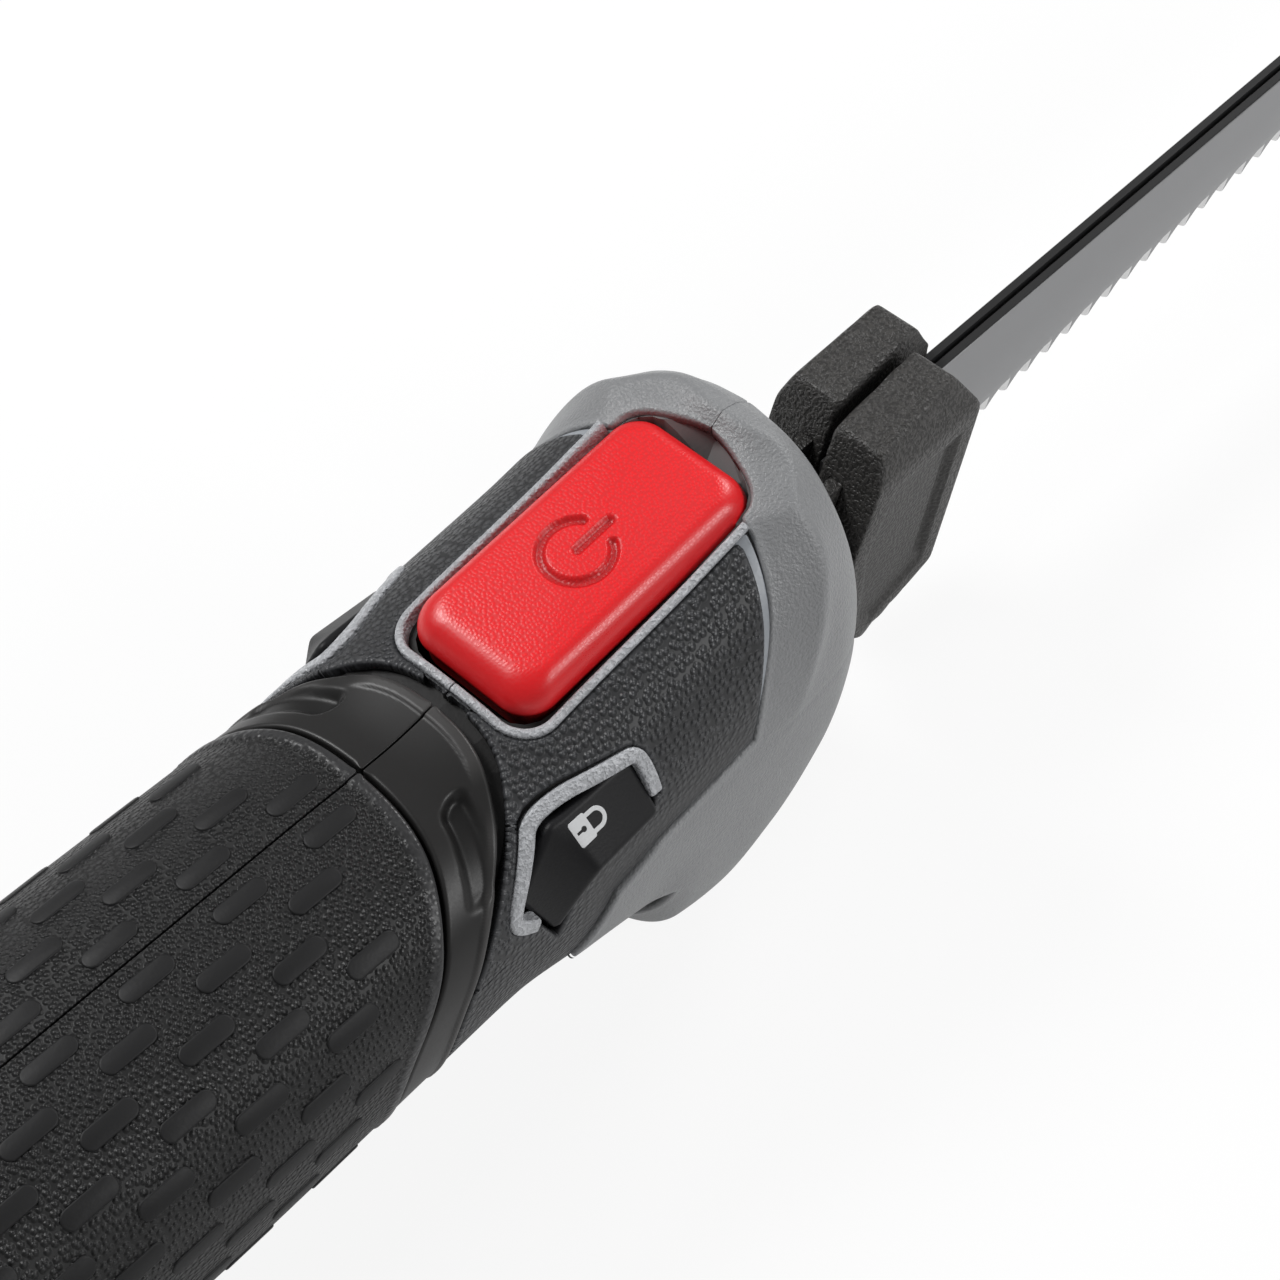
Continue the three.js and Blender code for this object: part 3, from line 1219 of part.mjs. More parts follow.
const handleEnd = HANDLE_STATIONS[HANDLE_STATIONS.length - 1];
const footBody = { ...handleEnd, top: FOOT_TOP, half: FOOT_HALF_WIDTH, lower: 2.8 };
const footSizes = sectionSizes([
  { ...handleEnd, x: footFront },
  { ...footBody, x: footFront - FOOT_FLARE, bottom: REST_PLANE },
  { ...footBody, x: FOOT_REAR_X + FOOT_EDGE, bottom: REST_PLANE - FOOT_TRIM },
  {
    ...footBody,
    x: FOOT_REAR_X,
    top: FOOT_TOP - FOOT_EDGE,
    bottom: REST_PLANE + FOOT_EDGE,
    half: FOOT_HALF_WIDTH - FOOT_EDGE,
  },
]);
const footPlaces = spacedPlaces(FOOT_REAR_X, footFront, FOOT_RING_STEP);
function latchBlock(side, grow) {
  const inner = FOOT_HALF_WIDTH - LATCH_DEPTH - grow * (1 + LATCH_TRAVEL / COVER_GAP);
  const outer = FOOT_HALF_WIDTH + LATCH_PROUD + (grow > 0 ? 5 : 0);
  const shape = roundedRectangle(
    LATCH_X - LATCH_LENGTH / 2 - grow,
    LATCH_X + LATCH_LENGTH / 2 + grow,
    LATCH_Z - LATCH_HEIGHT / 2 - grow,
    LATCH_Z + LATCH_HEIGHT / 2 + grow,
    2 + grow,
  );
  return prismAlongY(shape, side * inner, side * outer, 3);
}
const footBlock = cut(
  loft(footSizes, footPlaces, 0).intersect(restSlab),
  latchBlock(LEFT, COVER_GAP),
  latchBlock(RIGHT, COVER_GAP),
);
place(batteryGroup, 'battery_foot', footBlock, FINISHES.blackPlastic());
for (const { side, word } of SIDES) {
  place(batteryGroup, `battery_latch_${word}`, latchBlock(side, 0), FINISHES.greyPlastic());
}

// Terminal block with its contact blades, fixed in the handle ahead of the pack
const terminalBlock = prismAlongX(
  packOutline(COVER_GAP - SEAT_GAP),
  PACK_FRONT_X + COVER_GAP,
  PACK_FRONT_X + TERMINAL_LENGTH - SEAT_GAP,
);
place(handle, 'terminal_block', terminalBlock, FINISHES.blackPlastic());
for (const i of contactNumbers) {
  const middle = (i - (CONTACT_COUNT - 1) / 2) * CONTACT_SPACING;
  const contact = box(
    [PACK_FRONT_X - CONTACT_LENGTH, PACK_FRONT_X + COVER_GAP],
    [middle - CONTACT_THICKNESS / 2, middle + CONTACT_THICKNESS / 2],
    [MOTOR_AXIS_Z - CONTACT_HEIGHT / 2, MOTOR_AXIS_Z + CONTACT_HEIGHT / 2],
  );
  place(handle, `contact_${i + 1}`, contact, FINISHES.brass());
}

// Stand the knife on its guard and battery foot, centred over the origin
knife.position.set(-(FOOT_REAR_X + BLADE_TIP_X + CRANK_THROW) / 2, 0, -REST_PLANE);

export default knife;
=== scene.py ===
"""Looks of a cordless electric fillet knife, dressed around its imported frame.

Lengths are in millimetres in the knife's working frame: X forward along the blades, Y to the left and
Z up, with the origin on the handle's axis below the front edge of the collar. Meshes are written in
metres in the shared frame, which is the working frame moved by FRAME_SHIFT. Halves are worked out for
the left side and turned over for the right one.
"""

import logging
import math
from collections.abc import Callable
from dataclasses import dataclass, field
from enum import Enum
from functools import partial

import bmesh
import bpy
import numpy as np
from mathutils import Matrix, Vector


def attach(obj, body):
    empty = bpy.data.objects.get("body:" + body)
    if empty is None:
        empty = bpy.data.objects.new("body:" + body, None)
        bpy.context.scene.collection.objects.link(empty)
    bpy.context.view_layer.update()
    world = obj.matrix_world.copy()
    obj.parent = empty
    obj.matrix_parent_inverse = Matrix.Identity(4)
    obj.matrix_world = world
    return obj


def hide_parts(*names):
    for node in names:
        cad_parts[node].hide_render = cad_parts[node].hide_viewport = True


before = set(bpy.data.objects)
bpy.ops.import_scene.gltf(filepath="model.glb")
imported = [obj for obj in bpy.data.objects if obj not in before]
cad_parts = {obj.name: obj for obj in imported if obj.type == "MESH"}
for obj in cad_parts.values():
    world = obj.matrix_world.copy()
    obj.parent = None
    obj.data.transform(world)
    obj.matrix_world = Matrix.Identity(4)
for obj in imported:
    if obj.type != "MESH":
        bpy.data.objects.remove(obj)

log = logging.getLogger("fillet_knife")
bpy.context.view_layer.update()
Array = np.ndarray
Triple = tuple[float, float, float]
Line = tuple[tuple[float, ...], ...]
Pair = tuple[float, float]
Span = tuple[float, float, int]

MM = 0.001
TINY = 1e-12
QUARTER = math.pi / 2
FRAME_SHIFT = np.array([-5.0, 0.0, 46.0])
REST_PLANE = -46.0
FAR = 300.0  # beyond every outline
CLEAR = 9.0  # a distance that sets no limit
SEAM_HALF_GAP = 0.14
SEAM_ROLL = 0.1


class Side(Enum):
    """The two halves of the knife; the value is the sign of Y."""

    RIGHT = -1
    LEFT = 1

    @property
    def word(self) -> str:
        """The side's word in the names of pieces."""
        return self.name.lower()


class Grain(Enum):
    """Kinds of surface texture."""

    FINE = "fine spark texture"
    COARSE = "coarse spark texture"
    LEATHER = "leather pebbles"
    DRAWN = "lines drawn along the blade"


# Numbers and curves


def smooth_step(low: float, high: float, value: Array) -> Array:
    """Rise from 0 at low to 1 at high along 3t^2 - 2t^3."""
    t = np.clip((value - low) / (high - low), 0.0, 1.0)
    return t * t * (3.0 - 2.0 * t)


def unit(vectors: Array) -> Array:
    """Vectors brought to length 1, where they have a length."""
    return vectors / np.maximum(np.linalg.norm(vectors, axis=-1, keepdims=True), 1e-9)


def full_turn(steps: int) -> Array:
    """Angles once round, the last one a step short of the first."""
    return np.linspace(0.0, 2 * math.pi, steps, endpoint=False)


def run_along(lines: Array) -> Array:
    """Length travelled from the start at each point of a line, or of each of several lines."""
    steps = np.linalg.norm(np.diff(lines, axis=-2), axis=-1)
    return np.concatenate([np.zeros_like(steps[..., :1]), np.cumsum(steps, axis=-1)], axis=-1)


def spline_through(points: Line, steps: int) -> Array:
    """Uniform Catmull-Rom curve through points, its end points doubled.

    Args:
        points: Points to pass through.
        steps: Pieces per span.

    Returns:
        Points along the curve, one row each.
    """
    given = np.asarray(points, float)
    padded = np.vstack([given[:1], given, given[-1:]])[:, None, :]
    before, first, second, after = padded[:-3], padded[1:-2], padded[2:-1], padded[3:]
    t = np.linspace(0.0, 1.0, steps, endpoint=False)[None, :, None]
    v0, v1 = 0.5 * (second - before), 0.5 * (after - first)
    curve = (2 * first - 2 * second + v0 + v1) * t**3
    curve = curve + (3 * second - 3 * first - 2 * v0 - v1) * t**2 + v0 * t + first
    return np.vstack([curve.reshape(-1, given.shape[1]), given[-1:]])


def rounded_path(points: Line, rounds: int) -> Array:
    """Cut the corners of an open line at a quarter and three quarters, several times over.

    Args:
        points: Corner points.
        rounds: How often the corners are cut.

    Returns:
        Points along the softened line.
    """
    line = np.asarray(points, float)
    for _ in range(rounds):
        near, far = 0.75 * line[:-1] + 0.25 * line[1:], 0.25 * line[:-1] + 0.75 * line[1:]
        middle = np.stack([near, far], axis=1).reshape(-1, line.shape[1])
        line = np.vstack([line[:1], middle, line[-1:]])
    return line


def evenly_spaced(line: Array, step: float) -> Array:
    """Place points along a line at equal lengths of travel.

    Args:
        line: Points of the line.
        step: Wanted spacing.

    Returns:
        The new points.
    """
    travel = run_along(line)
    places = np.linspace(0.0, travel[-1], max(2, int(round(travel[-1] / step))) + 1)
    return np.stack([np.interp(places, travel, column) for column in line.T], axis=1)


def to_segment(a: Array, b: Array, start: Array, end: Array) -> tuple[Array, Array]:
    """Distance of points to a straight piece of line.

    Args:
        a: First coordinates of the points.
        b: Second coordinates of the points.
        start: Where the piece starts.
        end: Where it ends.

    Returns:
        The distances, and the share of the piece run at the nearest place.
    """
    run = end - start
    share = ((a - start[0]) * run[0] + (b - start[1]) * run[1]) / (run @ run + TINY)
    share = np.clip(share, 0.0, 1.0)
    return np.hypot(a - start[0] - share * run[0], b - start[1] - share * run[1]), share


def to_path(line: Array, a: Array, b: Array) -> Array:
    """Distance of points to an open line."""
    return np.minimum.reduce([to_segment(a, b, p, q)[0] for p, q in zip(line[:-1], line[1:])])


def signed_distance(polygon: Array, a: Array, b: Array) -> Array:
    """Distance of points to a closed polygon's edge, positive inside (even-odd rule).

    Args:
        polygon: Corners, one row each.
        a: First coordinates of the points.
        b: Second coordinates of the points.

    Returns:
        The signed distances.
    """
    closed = np.vstack([polygon, polygon[:1]])
    inside = np.zeros(a.shape, bool)
    for (a0, b0), (a1, b1) in zip(closed[:-1], closed[1:]):
        crosses = (b0 > b) != (b1 > b)
        inside ^= crosses & (a < a0 + (b - b0) / ((b1 - b0) or TINY) * (a1 - a0))
    return np.where(inside, 1.0, -1.0) * to_path(closed, a, b)


def box_distance(a: Array, b: Array, half_a: float, half_b: float, radius: float) -> Array:
    """Distance to a rounded rectangle about the origin, positive inside.

    Args:
        a: First coordinates.
        b: Second coordinates.
        half_a: Half length.
        half_b: Half width.
        radius: Corner radius.

    Returns:
        The signed distances.
    """
    qa, qb = np.abs(a) - half_a + radius, np.abs(b) - half_b + radius
    outside = np.hypot(np.maximum(qa, 0.0), np.maximum(qb, 0.0))
    return radius - outside - np.minimum(np.maximum(qa, qb), 0.0)


def seam_roll(y: Array, roll: float, reach: float = 1.8) -> Array:
    """Radius of a rolled edge that shrinks to almost none beside the middle seam."""
    return SEAM_ROLL + (roll - SEAM_ROLL) * smooth_step(0.1 * reach, reach, y)


def softened(values: Array, rounds: int) -> Array:
    """Values on a grid averaged with their four neighbours, several times over.

    Args:
        values: Values on the grid.
        rounds: How often they are averaged.

    Returns:
        The smoother values.
    """
    for _ in range(rounds):
        wide = np.pad(values, 1, mode="edge")
        beside = wide[:-2, 1:-1] + wide[2:, 1:-1] + wide[1:-1, :-2] + wide[1:-1, 2:]
        values = 0.5 * values + 0.125 * beside
    return values


# Meshes


def linked(name: str, data: bpy.types.ID) -> bpy.types.Object:
    """A new object in the scene.

    Args:
        name: Its name.
        data: Its mesh, lamp or camera.

    Returns:
        The object.
    """
    made = bpy.data.objects.new(name, data)
    bpy.context.scene.collection.objects.link(made)
    return made


def shade(mesh: bpy.types.Mesh, smooth: bool) -> None:
    """Shade every face of a mesh smooth or flat."""
    mesh.polygons.foreach_set("use_smooth", np.full(len(mesh.polygons), smooth))


def write_mask(mesh: bpy.types.Mesh, name: str, values: Array) -> None:
    """Store a value at each point of a mesh for its material."""
    layer = mesh.attributes.new(name, "FLOAT", "POINT")
    layer.data.foreach_set("value", values.astype(np.float32))


@dataclass
class MeshData:
    """Points in the working frame with faces and per-point masks."""

    points: Array
    faces: list[Array]
    masks: dict[str, Array] = field(default_factory=dict)

    def moved(self, x: float) -> "MeshData":
        """The mesh moved along X."""
        return MeshData(self.points + [x, 0.0, 0.0], self.faces, self.masks)

    def mirrored(self, side: Side) -> "MeshData":
        """The mesh of one half; lengths round the skin change their sign with the side.

        Args:
            side: Which half.

        Returns:
            The mesh as it is for the left half, or turned over for the right one.
        """
        if side is Side.LEFT:
            return self
        masks = {name: -v if name == "skin_round" else v for name, v in self.masks.items()}
        return MeshData(self.points * [1.0, -1.0, 1.0], [f[:, ::-1] for f in self.faces], masks)

    def piece(self, name: str, sharp_degrees: float = 180.0) -> bpy.types.Object:
        """Write the mesh into a new object at the origin.

        Args:
            name: Name of the piece.
            sharp_degrees: Edges that turn more than this are shaded sharp.

        Returns:
            The new object.
        """
        mesh = bpy.data.meshes.new(name)
        placed = (self.points + FRAME_SHIFT) * MM
        mesh.from_pydata(placed.tolist(), [], [face for f in self.faces for face in f.tolist()])
        shade(mesh, True)
        for mask_name, values in self.masks.items():
            write_mask(mesh, mask_name, values)
        if sharp_degrees < 180.0:
            mesh.set_sharp_from_angle(angle=math.radians(sharp_degrees))
        mesh.update()
        return linked(name, mesh)

    def half(self, name: str, side: Side, sharp_degrees: float = 180.0) -> bpy.types.Object:
        """Write one half's mesh into an object named after its side."""
        return self.mirrored(side).piece(f"{name}_{side.word}", sharp_degrees)


def grid_faces(rows: int, columns: int, ring: bool) -> Array:
    """Quads over rows of points, with the last column joined to the first where they are rings.

    Args:
        rows: Number of rows.
        columns: Points per row.
        ring: Whether each row closes on itself.

    Returns:
        Corner indices, four to a face.
    """
    row = np.arange(rows - 1)[:, None] * columns
    column = np.arange(columns if ring else columns - 1)[None, :]
    beside = (column + 1) % columns
    corners = [row + column, row + beside, row + columns + beside, row + columns + column]
    return np.stack(corners, axis=-1).reshape(-1, 4)


def ring_stack(rings: Array, masks: dict[str, Array] | None = None) -> MeshData:
    """Skin over a stack of rings, each end closed by a fan to the ring's middle.

    Args:
        rings: Points, by ring, place on the ring and coordinate.
        masks: Values by ring and place; the middles of the ends get 0.

    Returns:
        The mesh, facing out when the rings run anticlockwise seen from the last ring's side.
    """
    rows, columns = rings.shape[:2]
    index = np.arange(columns)
    after = (index + 1) % columns
    last, middle = (rows - 1) * columns, rows * columns
    faces = [
        grid_faces(rows, columns, True),
        np.stack([after, index, np.full(columns, middle)], axis=1),
        np.stack([last + index, last + after, np.full(columns, middle + 1)], axis=1),
    ]
    points = np.vstack([rings.reshape(-1, 3), rings[0].mean(axis=0), rings[-1].mean(axis=0)])
    carried = {name: np.append(values.ravel(), [0.0, 0.0]) for name, values in (masks or {}).items()}
    return MeshData(points, faces, carried)


def swept(path: Array, up: Array, profile: Array) -> MeshData:
    """Carry a closed profile along a path: point = path + across * a + up * b for profile (a, b).

    Args:
        path: Points of the path.
        up: Unit direction at each point that the profile's second coordinate follows.
        profile: Closed profile, anticlockwise looking back along the path.

    Returns:
        A closed bar with flat ends.
    """
    across = unit(np.cross(unit(np.gradient(path, axis=0)), up))
    rings = path[:, None] + across[:, None] * profile[:, :1] + up[:, None] * profile[:, 1:]
    return ring_stack(rings[:, ::-1])


def bar_profile(width: float, rise: float, depth: float, corner: float) -> Array:
    """Closed section of a bar with rounded upper corners.

    Args:
        width: Its width.
        rise: How far it stands above the path.
        depth: How far it reaches below.
        corner: Radius of the upper corners.

    Returns:
        Points of the section.
    """
    angle = np.linspace(0.0, QUARTER, 6)
    half = width / 2
    across, upward = half - corner + corner * np.cos(angle), rise - corner + corner * np.sin(angle)
    right = np.stack([across, upward], axis=1)
    return np.vstack([[(half, -depth)], right, right[::-1] * [-1.0, 1.0], [(-half, -depth)]])


@dataclass
class Sheet:
    """A surface over a grid of two parameters, cut to an outline and given rolled edges.

    Attributes:
        surface: Point at each pair of parameters.
        first: Values of the first parameter, increasing.
        second: Values of the second parameter; first x second faces out.
    """

    surface: Callable[[Array, Array], Array]
    first: Array
    second: Array

    def __post_init__(self) -> None:
        """Work out points, normals and the surface's metric on the grid."""
        self.a, self.b = np.meshgrid(self.first, self.second, indexing="ij")
        self.points = self.surface(self.a, self.b)
        self.along, self.across = np.gradient(self.points, axis=(0, 1))
        self.normal = unit(np.cross(self.along, self.across))
        self.e, self.g = (self.along**2).sum(-1), (self.across**2).sum(-1)
        self.f = (self.along * self.across).sum(-1)
        self.area = np.maximum(self.e * self.g - self.f**2, TINY)

    @property
    def xyz(self) -> Array:
        """X, Y and Z on the grid, one after the other."""
        return np.moveaxis(self.points, -1, 0)

    def gradient(self, da: Array, db: Array) -> Array:
        """Gradient on the surface of a value.

        Args:
            da: Differences of the value along the first parameter.
            db: Differences along the second.

        Returns:
            A vector at each grid point.
        """
        wa = (self.g * da - self.f * db) / self.area
        wb = (self.e * db - self.f * da) / self.area
        return wa[..., None] * self.along + wb[..., None] * self.across

    def inward(self, inside: Array) -> Array:
        """Unit direction away from the nearest edge, from differences on the side nearer to it.

        Args:
            inside: Length to the outline at each grid point.

        Returns:
            A vector at each grid point.
        """
        parts = []
        for axis in (0, 1):
            step = np.diff(inside, axis=axis)
            before, after = [(0, 0), (0, 0)], [(0, 0), (0, 0)]
            before[axis], after[axis] = (1, 0), (0, 1)
            back, ahead = np.pad(step, before, mode="edge"), np.pad(step, after, mode="edge")
            parts.append(np.where(back + ahead >= 0, back, ahead))
        return unit(self.gradient(*parts))

    def arc(self) -> Array:
        """Length run along the second parameter at each grid point, 0 where it passes the seam."""
        run, seam = run_along(self.points), np.argmin(np.abs(self.second))
        return run - run[:, seam : seam + 1]

    def travel(self, *distances: Array) -> Array:
        """Smallest of several flat distances, each turned into length along the surface."""
        steep = (np.linalg.norm(self.gradient(*np.gradient(d)), axis=-1) for d in distances)
        return np.minimum.reduce([d / np.maximum(s, 0.25) for d, s in zip(distances, steep)])

    def shell(
        self,
        inside: Array,
        roll: Array | float,
        thickness: float,
        relief: Array | float = 0.0,
        masks: dict[str, Array] | None = None,
        roll_rows: int = 5,
    ) -> MeshData:
        """Cut the sheet where inside is 0, roll its edge over and close it below.

        The cut is made where inside equals the roll's radius, on the lines between grid points. From
        there rows of points run out by roll * sin(angle) and down by roll * (1 - cos(angle)), then
        straight down to the underside, which is the same sheet lowered by the thickness.

        Args:
            inside: Length to the outline at each grid point, positive inside.
            roll: Radius of the rolled edge, one for all or one at each grid point.
            thickness: Depth of the shell.
            relief: Height added along the normal, one for all or one at each grid point.
            masks: Values to carry as point masks.
            roll_rows: Rows in the rolled edge.

        Returns:
            A closed shell.
        """
        named = masks or {}
        radius = np.broadcast_to(roll, inside.shape)
        single = [self.a, self.b, np.broadcast_to(relief, inside.shape), radius, *named.values()]
        layers = [np.stack(single, axis=-1), self.inward(inside), self.normal]
        table = np.concatenate(layers, axis=-1).reshape(inside.size, -1)
        table, triangles, edges = cut_grid(inside.shape, (inside - radius).ravel(), table)
        a, b, height, radius, *carried = table[:, :-6].T
        inward, normal = unit(table[:, -6:-3]), unit(table[:, -3:])
        flat = self.surface(a, b)
        top, below = flat + normal * height[:, None], flat - normal * thickness
        border, index = np.unique(edges, return_inverse=True)
        start, end = index.reshape(edges.shape).T
        angles = np.linspace(0.0, QUARTER, roll_rows + 1)[1:]
        turned = radius[border, None]
        out = [*(turned * np.sin(angle) for angle in angles), turned]
        down = [*(turned * (1 - np.cos(angle)) for angle in angles), thickness + 0.0 * turned]
        rows = [top[border] - inward[border] * o - normal[border] * d for o, d in zip(out, down)]
        count, size = len(top), len(border)
        sides = [2 * count + k * size + np.arange(size) for k in range(len(rows))]
        chain = [border, *sides, border + count]
        faces = [triangles, triangles[:, ::-1] + count]
        for upper, lower in zip(chain[:-1], chain[1:]):
            faces.append(np.stack([upper[end], upper[start], lower[start], lower[end]], axis=1))
        spread = [np.concatenate([v, v, *[v[border]] * len(rows)]) for v in carried]
        return MeshData(np.vstack([top, below, *rows]), faces, dict(zip(named, spread)))


def cut_grid(shape: tuple[int, int], level: Array, table: Array) -> tuple[Array, Array, Array]:
    """Keep the part of a grid of triangles where level is above 0.

    Args:
        shape: Grid points along each parameter.
        level: Value at each grid point.
        table: Rows of values at each grid point, worked out in between on cut edges.

    Returns:
        The table of kept and cut points, the triangles, and the edges of the cut, each edge in the
        order in which its triangle runs round it.
    """
    quads = grid_faces(*shape, False)[:, [0, 3, 2, 1]]
    triangles = np.vstack([quads[:, [0, 1, 2]], quads[:, [0, 2, 3]]])
    keep = level[triangles] > 0
    count = keep.sum(axis=1)

    def turned(chosen: Array, first: Array) -> Array:
        """Triangles rotated so that the corner numbered in first comes first."""
        order = (first[:, None] + np.arange(3)) % 3
        return np.take_along_axis(chosen, order, axis=1)

    two = turned(triangles[count == 2], (np.argmin(keep[count == 2], axis=1) + 1) % 3)
    one = turned(triangles[count == 1], np.argmax(keep[count == 1], axis=1))
    pairs = np.vstack([two[:, [1, 2]], two[:, [2, 0]], one[:, [0, 1]], one[:, [2, 0]]])
    ends, which = np.unique(np.sort(pairs, axis=1), axis=0, return_inverse=True)
    near, far = level[ends[:, 0]], level[ends[:, 1]]
    share = (near / (near - far))[:, None]
    cut_rows = table[ends[:, 0]] * (1 - share) + table[ends[:, 1]] * share
    n2, n1 = len(two), len(one)
    e_bc, e_ca, e_ab, e_ac = np.split(which.ravel() + len(table), [n2, 2 * n2, 2 * n2 + n1])
    made = np.vstack(
        [
            triangles[count == 3],
            np.stack([two[:, 0], two[:, 1], e_bc], axis=1),
            np.stack([two[:, 0], e_bc, e_ca], axis=1),
            np.stack([one[:, 0], e_ab, e_ac], axis=1),
        ]
    )
    edges = np.vstack([np.stack([e_bc, e_ca], axis=1), np.stack([e_ab, e_ac], axis=1)])
    everything = np.vstack([table, cut_rows])
    used, packed = np.unique(made, return_inverse=True)
    lookup = np.full(len(everything), -1)
    lookup[used] = np.arange(len(used))
    return everything[used], packed.reshape(made.shape), lookup[edges]


def merged_copy(node: str) -> bpy.types.Mesh:
    """A node's mesh with its loose triangles joined and its flat faces made whole.

    Args:
        node: Name of the node.

    Returns:
        The new mesh.
    """
    work = bmesh.new()
    work.from_mesh(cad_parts[node].data)
    bmesh.ops.remove_doubles(work, verts=work.verts, dist=2e-6)
    level = {"angle_limit": math.radians(0.6), "delimit": set()}
    bmesh.ops.dissolve_limit(work, verts=work.verts, edges=work.edges, **level)
    mesh = bpy.data.meshes.new(node + "_copy")
    work.to_mesh(mesh)
    work.free()
    shade(mesh, True)
    return mesh


def soft_edged(name: str, node: str, radius: float, segments: int) -> bpy.types.Object:
    """A merged copy of a node whose sharp edges are rounded.

    Args:
        name: Name of the new piece.
        node: Node to copy.
        radius: Width of the rounding.
        segments: Steps in the rounding.

    Returns:
        The new object.
    """
    sharp = math.radians(28.0)
    mesh = merged_copy(node)
    mesh.name = name
    mesh.set_sharp_from_angle(angle=sharp)
    made = linked(name, mesh)
    bevel = made.modifiers.new("soft_edges", "BEVEL")
    bevel.width = radius * MM
    bevel.segments = segments
    bevel.limit_method = "ANGLE"
    bevel.angle_limit = sharp
    bevel.harden_normals = True
    bevel.miter_outer = "MITER_ARC"
    return made


def carved(made: bpy.types.Object, *cutters: MeshData) -> bpy.types.Object:
    """Cut closed meshes out of a piece for good.

    Args:
        made: The piece.
        cutters: What is cut away.

    Returns:
        The piece, with its mesh changed.
    """
    for number, cutter in enumerate(cutters):
        tool = cutter.piece(f"cutter_{number}")
        step = made.modifiers.new("carve", "BOOLEAN")
        step.operation = "DIFFERENCE"
        step.solver = "EXACT"
        step.object = tool
        bpy.context.view_layer.update()
        graph = bpy.context.evaluated_depsgraph_get()
        result = bpy.data.meshes.new_from_object(made.evaluated_get(graph))
        made.modifiers.remove(step)
        made.data = result
        bpy.data.objects.remove(tool)
    return made


# Shaders


class Wire:
    """A shader socket that takes part in sums; each operator adds one Math node."""

    def __init__(self, paint: "Paint", socket: bpy.types.NodeSocket) -> None:
        """Keep the socket and the node tree it belongs to."""
        self.paint = paint
        self.socket = socket

    def _with(self, operation: str, first: "Wire | float", second: "Wire | float") -> "Wire":
        """The result of a Math node on two values."""
        return self.paint.wire("ShaderNodeMath", {"operation": operation}, {0: first, 1: second})

    def __add__(self, other: "Wire | float") -> "Wire":
        """Sum."""
        return self._with("ADD", self, other)

    __radd__ = __add__

    def __sub__(self, other: "Wire | float") -> "Wire":
        """Difference."""
        return self._with("SUBTRACT", self, other)

    def __rsub__(self, other: float) -> "Wire":
        """Difference from a number."""
        return self._with("SUBTRACT", other, self)

    def __mul__(self, other: "Wire | float") -> "Wire":
        """Product."""
        return self._with("MULTIPLY", self, other)

    __rmul__ = __mul__

    def above(self, other: float) -> "Wire":
        """1 where the value is above a number, else 0."""
        return self._with("GREATER_THAN", self, other)

    def at_least(self, other: "Wire | float") -> "Wire":
        """The larger of two values."""
        return self._with("MAXIMUM", self, other)


class Paint:
    """The node tree of a material or world under construction."""

    def __init__(self, owner: bpy.types.Material | bpy.types.World) -> None:
        """Start with an empty tree.

        Args:
            owner: The material or world.
        """
        owner.use_nodes = True
        self.tree = owner.node_tree
        self.tree.nodes.clear()

    def node(self, kind: str, settings: dict | None, inputs: dict) -> bpy.types.Node:
        """Add a node.

        Args:
            kind: Node type.
            settings: Properties, set first.
            inputs: Values or wires by socket name or number.

        Returns:
            The node.
        """
        made = self.tree.nodes.new(kind)
        for key, value in (settings or {}).items():
            setattr(made, key, value)
        for key, value in inputs.items():
            if isinstance(value, Wire):
                self.tree.links.new(value.socket, made.inputs[key])
            else:
                made.inputs[key].default_value = value
        return made

    def wire(self, kind: str, settings: dict | None, inputs: dict, output: str | int = 0) -> Wire:
        """Add a node and take one of its outputs."""
        return Wire(self, self.node(kind, settings, inputs).outputs[output])

    def place(self) -> Wire:
        """Object coordinates, in metres."""
        return self.wire("ShaderNodeTexCoord", None, {}, "Object")

    def skin(self) -> Wire:
        """Coordinates laid out on a piece's skin, from its two length masks, in metres."""
        lengths = {0: self.mask("skin_along") * MM, 1: self.mask("skin_round") * MM}
        return self.wire("ShaderNodeCombineXYZ", None, lengths)

    def mask(self, name: str) -> Wire:
        """A point mask of the mesh, 0 where the mesh has none."""
        return self.wire("ShaderNodeAttribute", {"attribute_name": name}, {}, "Fac")

    def seen_by(self, rays: str) -> Wire:
        """1 for one kind of ray, else 0."""
        return self.wire("ShaderNodeLightPath", None, {}, f"Is {rays} Ray")

    def noise(self, place: Wire, size: float, detail: float, output: str = "Fac") -> Wire:
        """Soft noise whose lumps are about size millimetres across."""
        values = {"Vector": place, "Scale": 1.0 / (size * MM), "Detail": detail}
        return self.wire("ShaderNodeTexNoise", None, values, output)

    def ramped(self, value: Wire, low: float, high: float) -> Wire:
        """Smooth rise from 0 at low to 1 at high."""
        inputs = {"Value": value, "From Min": low, "From Max": high}
        return self.wire("ShaderNodeMapRange", {"interpolation_type": "SMOOTHSTEP"}, inputs)

    def blended(self, share: Wire, first: Wire | Triple, second: Triple) -> Wire:
        """Colour between two colours.

        Args:
            share: Share of the second colour.
            first: First colour.
            second: Second colour.

        Returns:
            The blend.
        """
        ends = [c if isinstance(c, Wire) else (*c, 1.0) for c in (first, second)]
        inputs = {0: share, 6: ends[0], 7: ends[1]}
        return self.wire("ShaderNodeMix", {"data_type": "RGBA"}, inputs, 2)

    def bumped(self, height: Wire, depth: float) -> Wire:
        """Normal of a surface raised by height times depth millimetres."""
        inputs = {"Height": height, "Distance": depth * MM, "Strength": 1.0}
        return self.wire("ShaderNodeBump", None, inputs)

    def close(self, inputs: dict) -> None:
        """Finish with a Principled shader fed by the given sockets."""
        shader = self.wire("ShaderNodeBsdfPrincipled", None, inputs)
        self.node("ShaderNodeOutputMaterial", None, {"Surface": shader})


